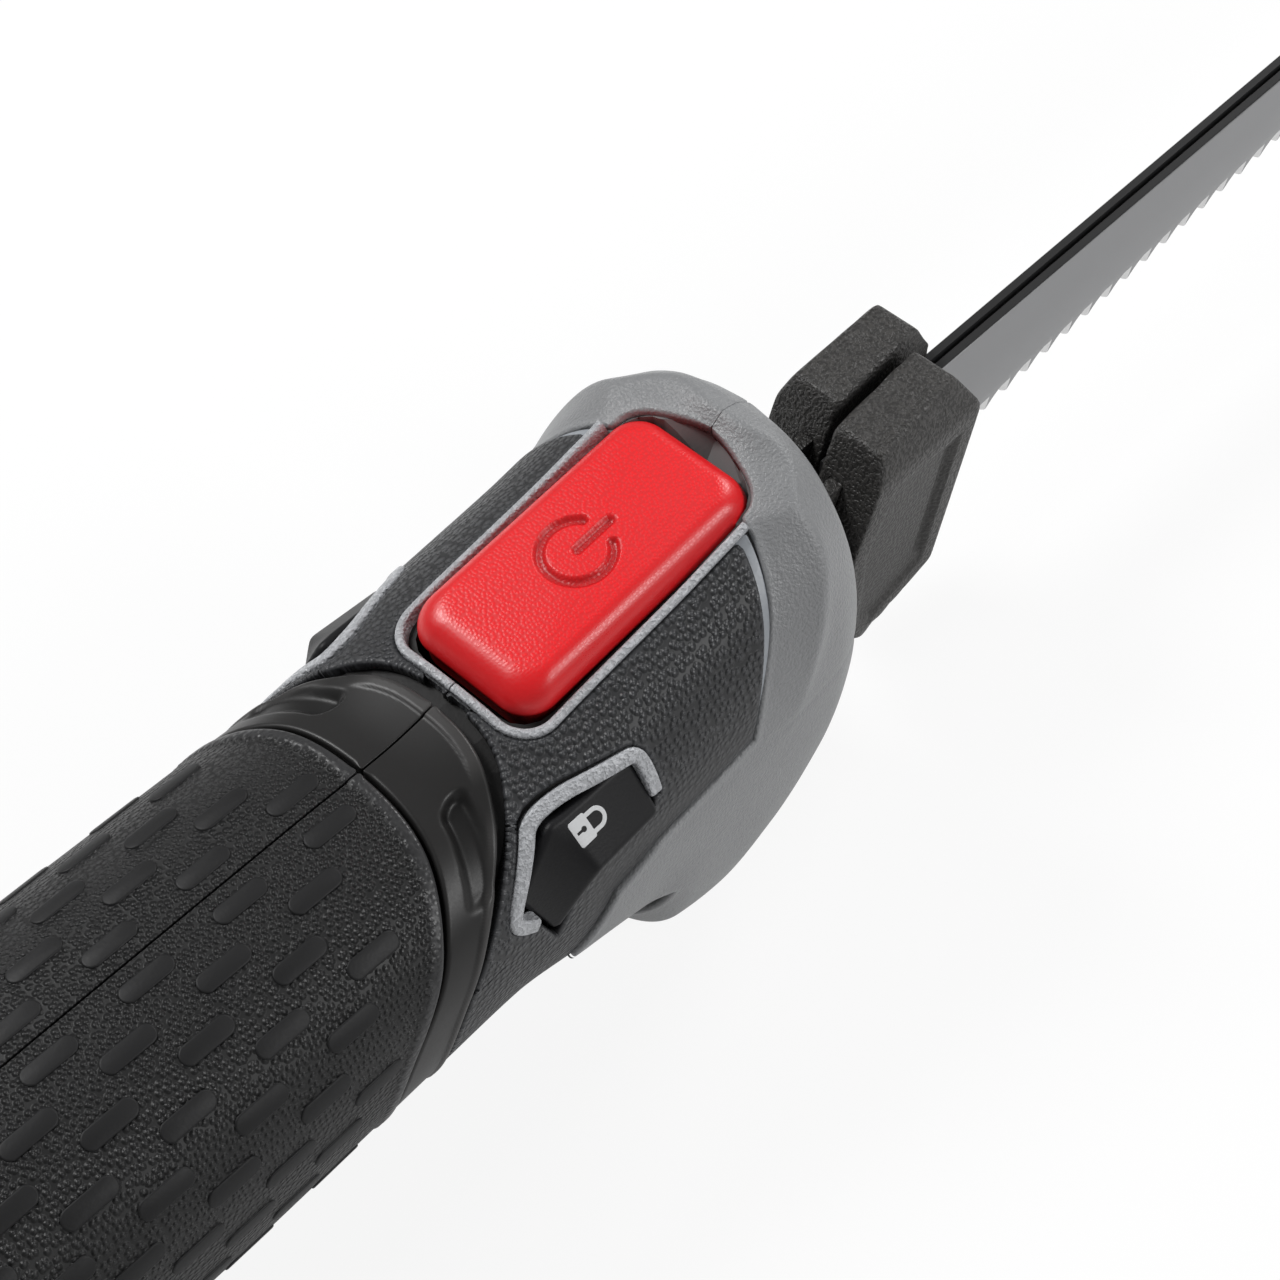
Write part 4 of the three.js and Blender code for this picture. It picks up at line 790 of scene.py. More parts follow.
def tinted(colour: Triple, share: float) -> Triple:
    """A colour made lighter or darker by a factor."""
    return tuple(min(1.0, c * share) for c in colour)


@dataclass(frozen=True)
class Moulding:
    """A moulded plastic or rubber: colour, texture, painted highlights on its edges and painted shade
    in its hollows.
    """

    name: str
    colour: Triple
    roughness: float
    grain: Grain
    cell: float
    depth: float
    edge_share: float = 1.35
    valley: float = 0.75
    specular: float = 0.5
    pebble_lump: float = 1 / 0.6
    pebble_bend: float = 0.35
    pebble_scatter: float = 0.7
    pebble_slope: Pair = (0.1, 0.62)
    spark_slope: Pair = (0.36, 0.64)
    quiet_share: float = 0.85
    light_share: float = 1.3
    blotch_size: float = 14.0
    blotch_share: float = 0.35
    blotch_spread: float = 0.12
    lightened_share: float = 0.6
    hollow_shade_share: float = 0.85
    grain_spread: float = 0.1
    quiet_polish: float = 0.08
    top_tint: float = 1.08
    blotch_tint: float = 0.8
    hollow_shade_tint: float = 0.2

    def texture(self, paint: Paint, place: Wire) -> Wire:
        """Height of the texture, from 0 in its valleys to 1 on its tops.

        Args:
            paint: Material under construction.
            place: Coordinates to read.

        Returns:
            The height.
        """
        if self.grain is Grain.LEATHER:
            skin = paint.skin()
            lumps = paint.noise(skin, self.pebble_lump * self.cell, 2.0, "Color")
            bend = {0: lumps, 1: (self.pebble_bend * self.cell * MM,) * 3, 2: skin}
            bent = paint.wire("ShaderNodeVectorMath", {"operation": "MULTIPLY_ADD"}, bend)
            kind = {"feature": "F1", "voronoi_dimensions": "2D"}
            cells = {"Vector": bent, "Scale": 1.0 / (self.cell * MM)}
            cells["Randomness"] = self.pebble_scatter
            away = paint.wire("ShaderNodeTexVoronoi", kind, cells, "Distance")
            return 1.0 - paint.ramped(away, *self.pebble_slope)
        if self.grain is Grain.COARSE:
            return paint.ramped(paint.noise(place, self.cell, 1.0), *self.spark_slope)
        return paint.noise(place, self.cell, 2.0)

    def lay_on(self, paint: Paint) -> None:
        """Build the finish; masks quiet the texture, paint highlights on edges, lighten the shell's
        light part and paint shade in hollows.

        Args:
            paint: The empty material.
        """
        place = paint.place()
        quiet = paint.mask("smooth_area")
        # edge_highlight is painted highlight along edges; light_part is the shell's own lighter grey
        # at the front.
        lightened = paint.mask("edge_highlight").at_least(paint.mask("light_part") * self.light_share)
        height = self.texture(paint, place)
        blotch = paint.noise(place, self.blotch_size, 3.0)
        textured = height * (1.0 - quiet * self.quiet_share)
        valley, top = tinted(self.colour, self.valley), tinted(self.colour, self.top_tint)
        base = paint.blended(textured, valley, top)
        for share, tint in (
            (blotch * self.blotch_share, self.blotch_tint),
            (lightened * self.lightened_share, self.edge_share),
            # Painted shade in hollows, from the hollow mask.
            (paint.mask("hollow") * self.hollow_shade_share, self.hollow_shade_tint),
        ):
            base = paint.blended(share, base, tinted(self.colour, tint))
        rough = self.roughness + (blotch - 0.5) * self.blotch_spread
        rough = rough + (0.5 - height) * self.grain_spread - quiet * self.quiet_polish
        normal = paint.bumped(textured, self.depth)
        level = {"Specular IOR Level": self.specular}
        paint.close({"Base Color": base, "Roughness": rough, "Normal": normal, **level})


@dataclass(frozen=True)
class Metal:
    """A metal: colour, texture and polish."""

    name: str
    colour: Triple
    roughness: float
    grain: Grain
    cell: float
    depth: float
    coat_colour: Triple = (0.007, 0.007, 0.0075)
    ground_colour: Triple = (0.66, 0.66, 0.66)
    stretch: Triple = (0.03, 1.0, 1.0)
    line_tints: Pair = (0.88, 1.06)
    line_spread: float = 0.12
    blotch_size: float = 22.0
    blotch_share: float = 0.4
    blotch_tint: float = 0.86
    coat_roughness: float = 0.2
    specular: float = 0.3

    def lay_on(self, paint: Paint) -> None:
        """Build the finish; the mask ground brightens it and coated turns it into a black coating.

        Args:
            paint: The empty material.
        """
        place = paint.place()
        coated = paint.mask("coated").above(0.5)
        scale = self.stretch if self.grain is Grain.DRAWN else (1.0, 1.0, 1.0)
        drawn = paint.wire("ShaderNodeMapping", None, {"Vector": place, "Scale": scale})
        lines = paint.noise(drawn, self.cell, 4.0)
        blotch = paint.noise(place, self.blotch_size, 2.0)
        base = paint.blended(lines, *(tinted(self.colour, tint) for tint in self.line_tints))
        base = paint.blended(blotch * self.blotch_share, base, tinted(self.colour, self.blotch_tint))
        base = paint.blended(paint.mask("ground"), base, self.ground_colour)
        base = paint.blended(coated, base, self.coat_colour)
        rough = self.roughness + (lines - 0.5) * self.line_spread + coated * self.coat_roughness
        look = {"Base Color": base, "Roughness": rough, "Metallic": 1.0 - coated}
        level = {"Specular IOR Level": self.specular}
        paint.close({**look, "Normal": paint.bumped(lines, self.depth), **level})


Finish = Moulding | Metal
FINE, COARSE, LEATHER = Grain.FINE, Grain.COARSE, Grain.LEATHER
GREY = Moulding("collar_grey", (0.222, 0.226, 0.232), 0.4, FINE, 0.45, 0.2, 1.4, 0.82)
SILVER = Moulding("rim_silver", (0.42, 0.43, 0.45), 0.36, COARSE, 0.55, 0.12, 1.3, 0.75)
STRIP = Moulding("strip_silver", (0.30, 0.32, 0.345), 0.42, FINE, 0.5, 0.04, 1.2, 0.9)
CHARCOAL = Moulding("head_charcoal", (0.034, 0.035, 0.038), 0.42, LEATHER, 1.1, 0.34, 1.35, 0.35, 0.4)
NECK = Moulding("neck_black", (0.0145, 0.014, 0.0138), 0.46, FINE, 0.35, 0.03, 4.5, 0.9, 0.3)
GRIP = Moulding("grip_black", (0.0115, 0.0115, 0.012), 0.43, LEATHER, 0.95, 0.3, 4.0, 0.4, 0.34)
PAD = Moulding("pad_black", (0.0085, 0.0085, 0.009), 0.52, FINE, 0.5, 0.02, 2.0, 0.85, 0.25)
BLACK = Moulding("button_black", (0.008, 0.008, 0.009), 0.46, FINE, 0.4, 0.03, 1.8, 0.8, 0.2)
HUB = Moulding("hub_black", (0.044, 0.042, 0.040), 0.42, COARSE, 0.55, 0.13, 2.2, 0.4, 0.4)
# Painted shade: the shell is dark so the gaps between the covers look shaded.
SHELL_GAP_SHADE = Moulding("shell_dark", (0.014, 0.0135, 0.0135), 0.55, FINE, 0.5, 0.03, 16.0, specular=0.3)
RED = Moulding("trigger_red", (0.76, 0.008, 0.012), 0.42, LEATHER, 0.6, 0.03, 1.06, 0.88)
PLUNGER = Moulding("plunger_red", (0.55, 0.02, 0.02), 0.42, FINE, 0.5, 0.02, 1.1)
SIGN = Moulding("sign_white", (0.62, 0.63, 0.64), 0.5, FINE, 0.4, 0.02, 1.0, 0.92)
NYLON = Moulding("gear_nylon", (0.68, 0.65, 0.55), 0.45, FINE, 0.6, 0.02, 1.1)
STEEL = Metal("blade_steel", (0.27, 0.272, 0.278), 0.42, Grain.DRAWN, 0.12, 0.006)
MACHINED = Metal("inner_steel", (0.45, 0.45, 0.46), 0.32, FINE, 0.4, 0.01)
BRASS = Metal("contact_brass", (0.60, 0.42, 0.16), 0.32, FINE, 0.4, 0.01)


MATERIALS: dict[Finish, bpy.types.Material] = {}


def dress(piece: bpy.types.Object, finish: Finish) -> None:
    """Give a piece one finish, whose material is made the first time it is asked for.

    Args:
        piece: The piece.
        finish: Its finish.
    """
    if finish not in MATERIALS:
        MATERIALS[finish] = bpy.data.materials.new(finish.name)
        finish.lay_on(Paint(MATERIALS[finish]))
    piece.data.materials.clear()
    piece.data.materials.append(MATERIALS[finish])


def settle(
    piece: bpy.types.Object, body: str, finish: Finish, nodes: tuple[str, ...] = ()
) -> None:
    """Dress a piece, let it ride on its body and hide the nodes it replaces.

    Args:
        piece: The piece.
        body: Body it moves with.
        finish: Its finish.
        nodes: Nodes that it replaces.
    """
    dress(piece, finish)
    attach(piece, body)
    if nodes:
        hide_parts(*nodes)
    log.info("%s: %d points", piece.name, len(piece.data.vertices))


# Handle surface

TOP, BOTTOM, HALF_WIDTH, UPPER_ROUND, LOWER_ROUND = range(1, 6)


@dataclass(frozen=True)
class Loft:
    """A surface through stations: place along X, top, bottom, half width, upper and lower roundness.

    Each section is a superellipse |y / half|^n + |z / height|^n = 1 whose upper and lower halves have
    their own height and n, and each size runs through the stations as a cubic without overshoot.
    """

    stations: Line
    floor_softness: float = 0.6

    def size(self, column: int, x: Array) -> Array:
        """One size of the section at each x.

        Args:
            column: Which size, from TOP to LOWER_ROUND.
            x: Places along the handle.

        Returns:
            The sizes.
        """
        table = np.asarray(self.stations, float)
        table = table[np.argsort(table[:, 0])]
        places, values = table[:, 0], table[:, column]
        slopes = np.diff(values) / np.diff(places)
        before, after = slopes[:-1], slopes[1:]
        total = np.where(before + after == 0, 1.0, before + after)
        inner = np.where(before * after <= 0, 0.0, 2 * before * after / total)
        tangents = np.concatenate([slopes[:1], inner, slopes[-1:]])
        i = np.clip(np.searchsorted(places, x) - 1, 0, len(places) - 2)
        width = places[i + 1] - places[i]
        t = np.clip((x - places[i]) / width, 0.0, 1.0)
        rise = values[i + 1] - values[i]
        bend = tangents[i] * width * t * (1 - t) ** 2 - tangents[i + 1] * width * t * t * (1 - t)
        return values[i] + rise * t * t * (3 - 2 * t) + bend

    def half_section(self, x: Array, upper: Array, raised: float = 0.0) -> tuple[Array, ...]:
        """Sizes of the section's upper or lower half.

        Args:
            x: Places along the handle.
            upper: Where the upper half is asked for.
            raised: How far the surface stands out.

        Returns:
            Half width, height and roundness.
        """
        half = self.size(HALF_WIDTH, x) + raised
        height = np.where(upper, self.size(TOP, x), -self.size(BOTTOM, x)) + raised
        return half, height, np.where(upper, self.size(UPPER_ROUND, x), self.size(LOWER_ROUND, x))

    def point(self, x: Array, turn: Array, raised: float = 0.0) -> Array:
        """Surface point in the direction turn, measured from the top round the left side.

        Args:
            x: Places along the handle.
            turn: Angles from the top.
            raised: How far the surface stands out.

        Returns:
            Points, flattened softly where they would pass the rest plane.
        """
        x, turn = np.broadcast_arrays(np.asarray(x, float), np.asarray(turn, float))
        sine, cosine = np.sin(turn), np.cos(turn)
        half, height, n = self.half_section(x, cosine >= 0, raised)
        radius = (np.abs(sine / half) ** n + np.abs(cosine / height) ** n) ** (-1.0 / n)
        above = radius * cosine - REST_PLANE
        z = REST_PLANE + 0.5 * (above + np.sqrt(above**2 + self.floor_softness**2))
        return np.stack([x, radius * sine, z], axis=-1)

    def side(self, x: Array, z: Array) -> Array:
        """Turn of the surface point at a given x and z."""
        half, height, n = self.half_section(x, z >= 0)
        return np.arctan2(half * np.maximum(1.0 - np.abs(z / height) ** n, 0.0) ** (1.0 / n), z)

    def crown(self, x: Array, y: Array) -> Array:
        """Turn of the upper surface point at a given x and y."""
        half, height, n = self.half_section(x, np.ones(np.shape(y), bool))
        return np.arctan2(y, height * np.maximum(1.0 - np.abs(y / half) ** n, 0.0) ** (1.0 / n))

    def normal(self, x: Array, turn: Array, step: float = 0.05, tilt: float = 0.002) -> Array:
        """Outward unit normal, from small steps along both parameters.

        Args:
            x: Places along the handle.
            turn: Angles from the top.
            step: Step along the handle.
            tilt: Step in the angle.

        Returns:
            The normals.
        """
        along = self.point(x + step, turn) - self.point(x - step, turn)
        across = self.point(x, turn + tilt) - self.point(x, turn - tilt)
        return unit(np.cross(along, across))


HANDLE = Loft(
    (
        (1, 28.4, -25, 19.6, 2.3, 2.2),
        (-2, 30.2, -32, 23.4, 2.5, 2.3),
        (-8.5, 30.4, -40, 25.6, 2.7, 2.5),
        (-18, 28.2, -46, 26.4, 2.7, 2.8),
        (-28, 26, -48.5, 26.6, 2.6, 3),
        (-37, 24.4, -47, 26.6, 2.6, 2.9),
        (-46, 22.8, -36, 26.6, 2.6, 2.4),
        (-58, 20.4, -32.8, 26.2, 2.5, 2.3),
        (-70, 19, -31.5, 25.4, 2.3, 2.2),
        (-85, 19.4, -31, 25.8, 2.3, 2.2),
        (-125, 19.6, -31.4, 26.5, 2.3, 2.2),
        (-170, 18.8, -30.4, 25.6, 2.3, 2.2),
        (-196, 19.6, -32, 26.4, 2.3, 2.2),
    )
)
HALF_ROUND = np.linspace(-0.06, math.pi + 0.06, 230)

# Lines of X and Z that part the covers from one another, each from the top to the underside.
HEAD_SWEEP = ((-56.8, 22), (-59.6, 20), (-65.4, 15.6), (-76, 5.7), (-83.6, -9), (-85.5, -36))
GRIP_SWEEP = ((-72.6, 21), (-74.6, 17.6), (-81.8, 9.6), (-92.6, -7), (-95.4, -36))
HEAD_FRONT = ((-12.6, 32), (-19.2, 19.2), (-22.8, 12), (-26.4, 2.4))
BAND_CORNERS = ((-45.8, -0.8), (-54, -4.6), (-60.8, -17.4), (-41.5, -20.6), (-46, -34))
SWEEP_STEPS = 8
HEAD_HALF_GAP = 0.45
GRIP_HALF_GAP = 0.25
STRIP_WIDTH = 1.0
STRIP_LEAST = 0.12
STRIP_SIDE = 0.62
STRIP_LOWER = (-3.0, 9.0)
STRIP_UPPER = (6.0, 22.0)

LOCK_BUTTON = np.array(
    [(-46.2, 7.4), (-46.2, 14.8), (-61.4, 14.8), (-68.8, 6.6), (-64.4, -3.8), (-58.6, 7.4)]
)
LOCK_RIM_LINE = (
    *((-45.25, 9.4), (-45.25, 13.6), (-45.6, 15.5), (-47.6, 15.75), (-61.9, 15.75)),
    *((-65.6, 12.0), (-70.2, 7.3), (-70.9, 5.2), (-69.7, 3.7), (-67.7, 2.4)),
)
LOCK_RIM_WIDTH = 2.2


def handle_sheet(span: Span, turns: Array = HALF_ROUND, proud: float = 0.0) -> Sheet:
    """A sheet of the handle's surface, or of one that stands proud of it."""
    return Sheet(partial(HANDLE.point, raised=proud), np.linspace(*span), turns)


def bar_on_handle(x: Array, turn: Array, profile: Array) -> MeshData:
    """A bar that runs along a line on the handle's surface."""
    return swept(HANDLE.point(x, turn), HANDLE.normal(x, turn), profile)


def behind(line: Array) -> Array:
    """Closed outline of everything behind a line that runs from the top to the underside."""
    ends = [(line[-1, 0], -FAR), (-FAR, -FAR), (-FAR, FAR), (line[0, 0], FAR)]
    return np.vstack([line, ends])


BEHIND_COLLAR = behind(np.vstack([spline_through(HEAD_FRONT, SWEEP_STEPS), BAND_CORNERS]))
BEHIND_HEAD = behind(spline_through(HEAD_SWEEP, SWEEP_STEPS))
BEHIND_NECK = behind(spline_through(GRIP_SWEEP, SWEEP_STEPS))


def strip_reach(z: Array) -> Array:
    """Width of the light strip behind the collar, full near the top and narrowing downwards.

    Args:
        z: Heights on the handle.

    Returns:
        Widths.
    """
    upper = STRIP_SIDE + (1 - STRIP_SIDE) * smooth_step(*STRIP_UPPER, z)
    lower = (1 - STRIP_LEAST) * smooth_step(*STRIP_LOWER, z)
    return STRIP_WIDTH * (STRIP_LEAST + lower * upper)


@dataclass(frozen=True)
class TriggerSizes:
    """Sizes of the trigger and of the rim round it."""

    length: float = 46.0
    width: float = 23.6
    height: float = 9.0
    edge_width: float = 3.6
    edge_drop: float = 4.6
    rear_reach: float = 1.4
    corner: float = 5.0
    middle_x: float = -32.45
    top_z: float = 27.4
    slope: float = math.radians(6.6)
    rim: float = 1.3
    rim_outside: float = 14.0
    rim_corner: float = 6.0
    rim_rear_x: float = -57.5
    rim_front_x: float = -14.6


TRIGGER = TriggerSizes()


# Sub-assemblies


@dataclass
class Housing:
    """The grey shells: a core darkened with painted shade where it shows between the covers, the
    collar with its band and guard, and the light rims.
    """

    proud: float = 0.8
    front_x: float = 1.0
    skin_search: float = 0.55
    skin_depth: float = 1.6
    core_lift: float = 0.6
    core_setback: float = 0.7
    light_ahead_x: float = -20.0
    light_above_z: float = 4.0
    collar_span: Span = (-64.0, 2.2, 190)
    collar_depth: float = 1.7
    collar_seam: float = 0.02
    collar_highlight: float = 0.4
    highlight_fade: Pair = (0.6, 1.8)
    seam_fade: Pair = (0.5, 2.0)
    roll: float = 0.6
    roll_reach: float = 4.0
    recess_half: float = 14.5
    recess_top: float = 19.0
    recess_bottom: float = -20.0
    recess_corner: float = 11.6
    lip_setback: float = 0.5
    lip_rays: Span = (0.0, 40.0, 400)
    ridge_reach: float = 6.0
    ridge_rise: float = 1.0
    ridge_fall: float = 1.4
    ridge_width: float = 2.0
    ridge_power: float = 1.15
    ridge_bend: float = 0.15
    ridge_start: float = 0.4
    ridge_near: Pair = (1.0, 11.0)
    ridge_far: Pair = (14.0, 24.0)
    ridge_gain: float = 0.35
    ridge_height: Pair = (-6.0, 14.0)
    soft_rounds: int = 9
    strip_span: Span = (-50.0, -10.0, 190)
    strip_turns: Span = (0.2, 2.0, 200)
    strip_drop: float = 0.7
    strip_under: float = 0.6
    strip_over: float = 0.5
    rim_clear: float = 0.4
    pocket_half: float = 12.5
    pocket: Line = (
        *((-14.6, 12.5), (-12.4, 12.3), (-10.7, 11.2), (-9.2, 9.0)),
        *((-8.0, 5.6), (-7.2, 2.6), (-6.7, 0.0)),
    )
    lip_profile: Line = (
        *((0.0, -3.2), (0.0, -0.05), (0.3, 0.0), (0.6, 0.0), (0.85, -0.05)),
        *((0.94, -0.2), (0.985, -0.5), (1.0, -0.9), (1.0, -3.9), (0.9, -4.2)),
    )

    def core(self, side: Side) -> bpy.types.Object:
        """The shell itself, with its outer skin sunk below the smooth collar.

        Args:
            side: Which half.

        Returns:
            The piece.
        """
        mesh = merged_copy(f"housing_{side.word}")
        flat = np.empty(3 * len(mesh.vertices))
        mesh.vertices.foreach_get("co", flat)
        points = flat.reshape(-1, 3) / MM - FRAME_SHIFT
        skin = HANDLE.point(points[:, 0], np.arctan2(np.abs(points[:, 1]), points[:, 2]))
        away = np.hypot(points[:, 1], points[:, 2])
        depth = np.hypot(skin[:, 1], skin[:, 2]) - away
        scale = np.where(depth < self.skin_search, 1.0 - (self.skin_depth - depth) / away, 1.0)
        points[:, 1:] *= scale[:, None]
        points[:, 2] = np.maximum(points[:, 2], REST_PLANE + self.core_lift)
        points[:, 0] = np.minimum(points[:, 0], self.front_x - self.core_setback)
        mesh.vertices.foreach_set("co", ((points + FRAME_SHIFT) * MM).ravel())
        shade(mesh, False)
        mesh.update()
        # Painted shade: dark where the shell shows between the covers; the front top part keeps its
        # own light grey.
        light = (points[:, 0] > self.light_ahead_x) & (points[:, 2] > self.light_above_z)
        write_mask(mesh, "light_part", light)
        return linked(f"shell_{side.word}", mesh)

    def collar(self) -> MeshData:
        """The collar, its band and the guard below, as one sheet ahead of the head cover.

        A ridge rise * exp(-|d / width|^power) runs at a distance from the rear edge, and the sheet
        falls from it to that edge along a line that bends softly at the ridge.

        Returns:
            The left half.
        """
        sheet = handle_sheet(self.collar_span, proud=self.proud)
        x, y, z = sheet.xyz
        well = np.vstack([[(-FAR, self.pocket_half)], spline_through(self.pocket, steps=6)])
        well = np.vstack([well, well[::-1] * [1.0, -1.0]])
        to_well = np.where(z > 0, -signed_distance(well, x, y), CLEAR)
        inner = sheet.travel(-signed_distance(BEHIND_COLLAR, x, z), to_well)
        inside = np.minimum(inner, sheet.travel(self.front_x - x, y - self.collar_seam))
        # The ridge runs close to the rear edge at the seam and further from it towards the side.
        widening = self.ridge_start + (1 - self.ridge_start) * smooth_step(*self.ridge_near, y)
        reach = self.ridge_reach * (widening + self.ridge_gain * smooth_step(*self.ridge_far, y))
        fall = np.clip(1.0 - inner / reach, 0.0, 1.0)
        fall = self.ridge_fall * fall**2 * (1.0 + self.ridge_bend) / (fall + self.ridge_bend)
        ridge = np.exp(-np.abs((inner - reach) / self.ridge_width) ** self.ridge_power)
        relief = (self.ridge_rise * ridge - fall) * smooth_step(*self.ridge_height, z)
        # Painted highlight along the collar's edges, fading towards the seam.
        highlight = (1.0 - smooth_step(*self.highlight_fade, inside)) * smooth_step(*self.seam_fade, y)
        highlight = highlight * self.collar_highlight
        roll = seam_roll(y, self.roll, self.roll_reach)
        relief = softened(relief, self.soft_rounds)
        return sheet.shell(inside, roll, self.collar_depth, relief, {"edge_highlight": highlight})

    def lip(self) -> MeshData:
        """The front face of the collar: rows between its outline and the recess, by share and X.

        Returns:
            The left half.
        """
        turn = np.linspace(0.0, math.pi, num=90)
        outer = HANDLE.point(self.front_x, turn, self.proud - self.lip_setback)
        reach_out = np.hypot(outer[:, 1], outer[:, 2])
        rays = np.linspace(*self.lip_rays)
        y, z = np.sin(turn)[:, None] * rays, np.cos(turn)[:, None] * rays
        middle = (self.recess_top + self.recess_bottom) / 2
        tall = (self.recess_top - self.recess_bottom) / 2
        room = box_distance(z - middle, y, tall, self.recess_half, self.recess_corner)
        reach_in = (room > 0).sum(axis=1) * (rays[1] - rays[0])
        share, ahead = np.array(self.lip_profile).T[..., None]
        reach = reach_out * (1 - share) + reach_in * share
        x = self.front_x + ahead + 0 * reach
        ring = np.stack([x, reach * np.sin(turn), reach * np.cos(turn)], axis=-1)
        return ring_stack(np.swapaxes(ring, 0, 1))

    def trigger_rim(self) -> MeshData:
        """The light rim along the side of the trigger and round behind it.

        Returns:
            The left half.
        """
        half = TRIGGER.rim_outside - TRIGGER.rim / 2
        rear = TRIGGER.rim_rear_x + TRIGGER.rim / 2
        corner = TRIGGER.rim_corner - TRIGGER.rim / 2
        angle = np.linspace(QUARTER, math.pi, num=16)
        middle = np.array([rear + corner, half - corner])
        arc = middle + corner * np.stack([np.cos(angle), np.sin(angle)], axis=1)
        line = np.vstack([[(TRIGGER.rim_front_x, half)], arc, [(rear, SEAM_HALF_GAP)]])
        x, y = evenly_spaced(line, step=0.6).T
        profile = bar_profile(TRIGGER.rim, rise=0.5, depth=3.0, corner=0.45)
        return bar_on_handle(x, HANDLE.crown(x, y), profile)

    def lock_rim(self) -> MeshData:
        """The light rim that follows the lock button along its top and rear.

        Returns:
            The left half.
        """
        x, z = evenly_spaced(rounded_path(LOCK_RIM_LINE, rounds=3), step=0.4).T
        profile = bar_profile(LOCK_RIM_WIDTH, rise=0.35, depth=1.8, corner=0.55)
        return bar_on_handle(x, HANDLE.side(x, z), profile)

    def step_strip(self) -> MeshData:
        """The light strip that shows, a little lower, between the collar's edge and the head cover.

        Returns:
            The left half.
        """
        sheet = handle_sheet(self.strip_span, np.linspace(*self.strip_turns), -self.strip_drop)
        x, y, z = sheet.xyz
        rear = signed_distance(BEHIND_COLLAR, x, z)
        beside_rim = np.where(z > 0, np.abs(y) - TRIGGER.rim_outside + self.rim_clear, CLEAR)
        over = strip_reach(z) - rear + self.strip_over
        inside = sheet.travel(rear + self.strip_under, over, beside_rim)
        return sheet.shell(inside, roll=0.2, thickness=1.0, roll_rows=3)

    def build(self) -> None:
        """Make and dress both halves."""
        parts = (
            ("collar", self.collar(), 180.0, GREY),
            ("collar_lip", self.lip(), 50.0, GREY),
            ("trigger_rim", self.trigger_rim(), 60.0, SILVER),
            ("lock_rim", self.lock_rim(), 60.0, SILVER),
            ("step_strip", self.step_strip(), 180.0, STRIP),
        )
        for side in Side:
            settle(self.core(side), "handle", SHELL_GAP_SHADE, (f"housing_{side.word}",))
            for name, mesh, sharp, finish in parts:
                settle(mesh.half(name, side, sharp), "handle", finish)


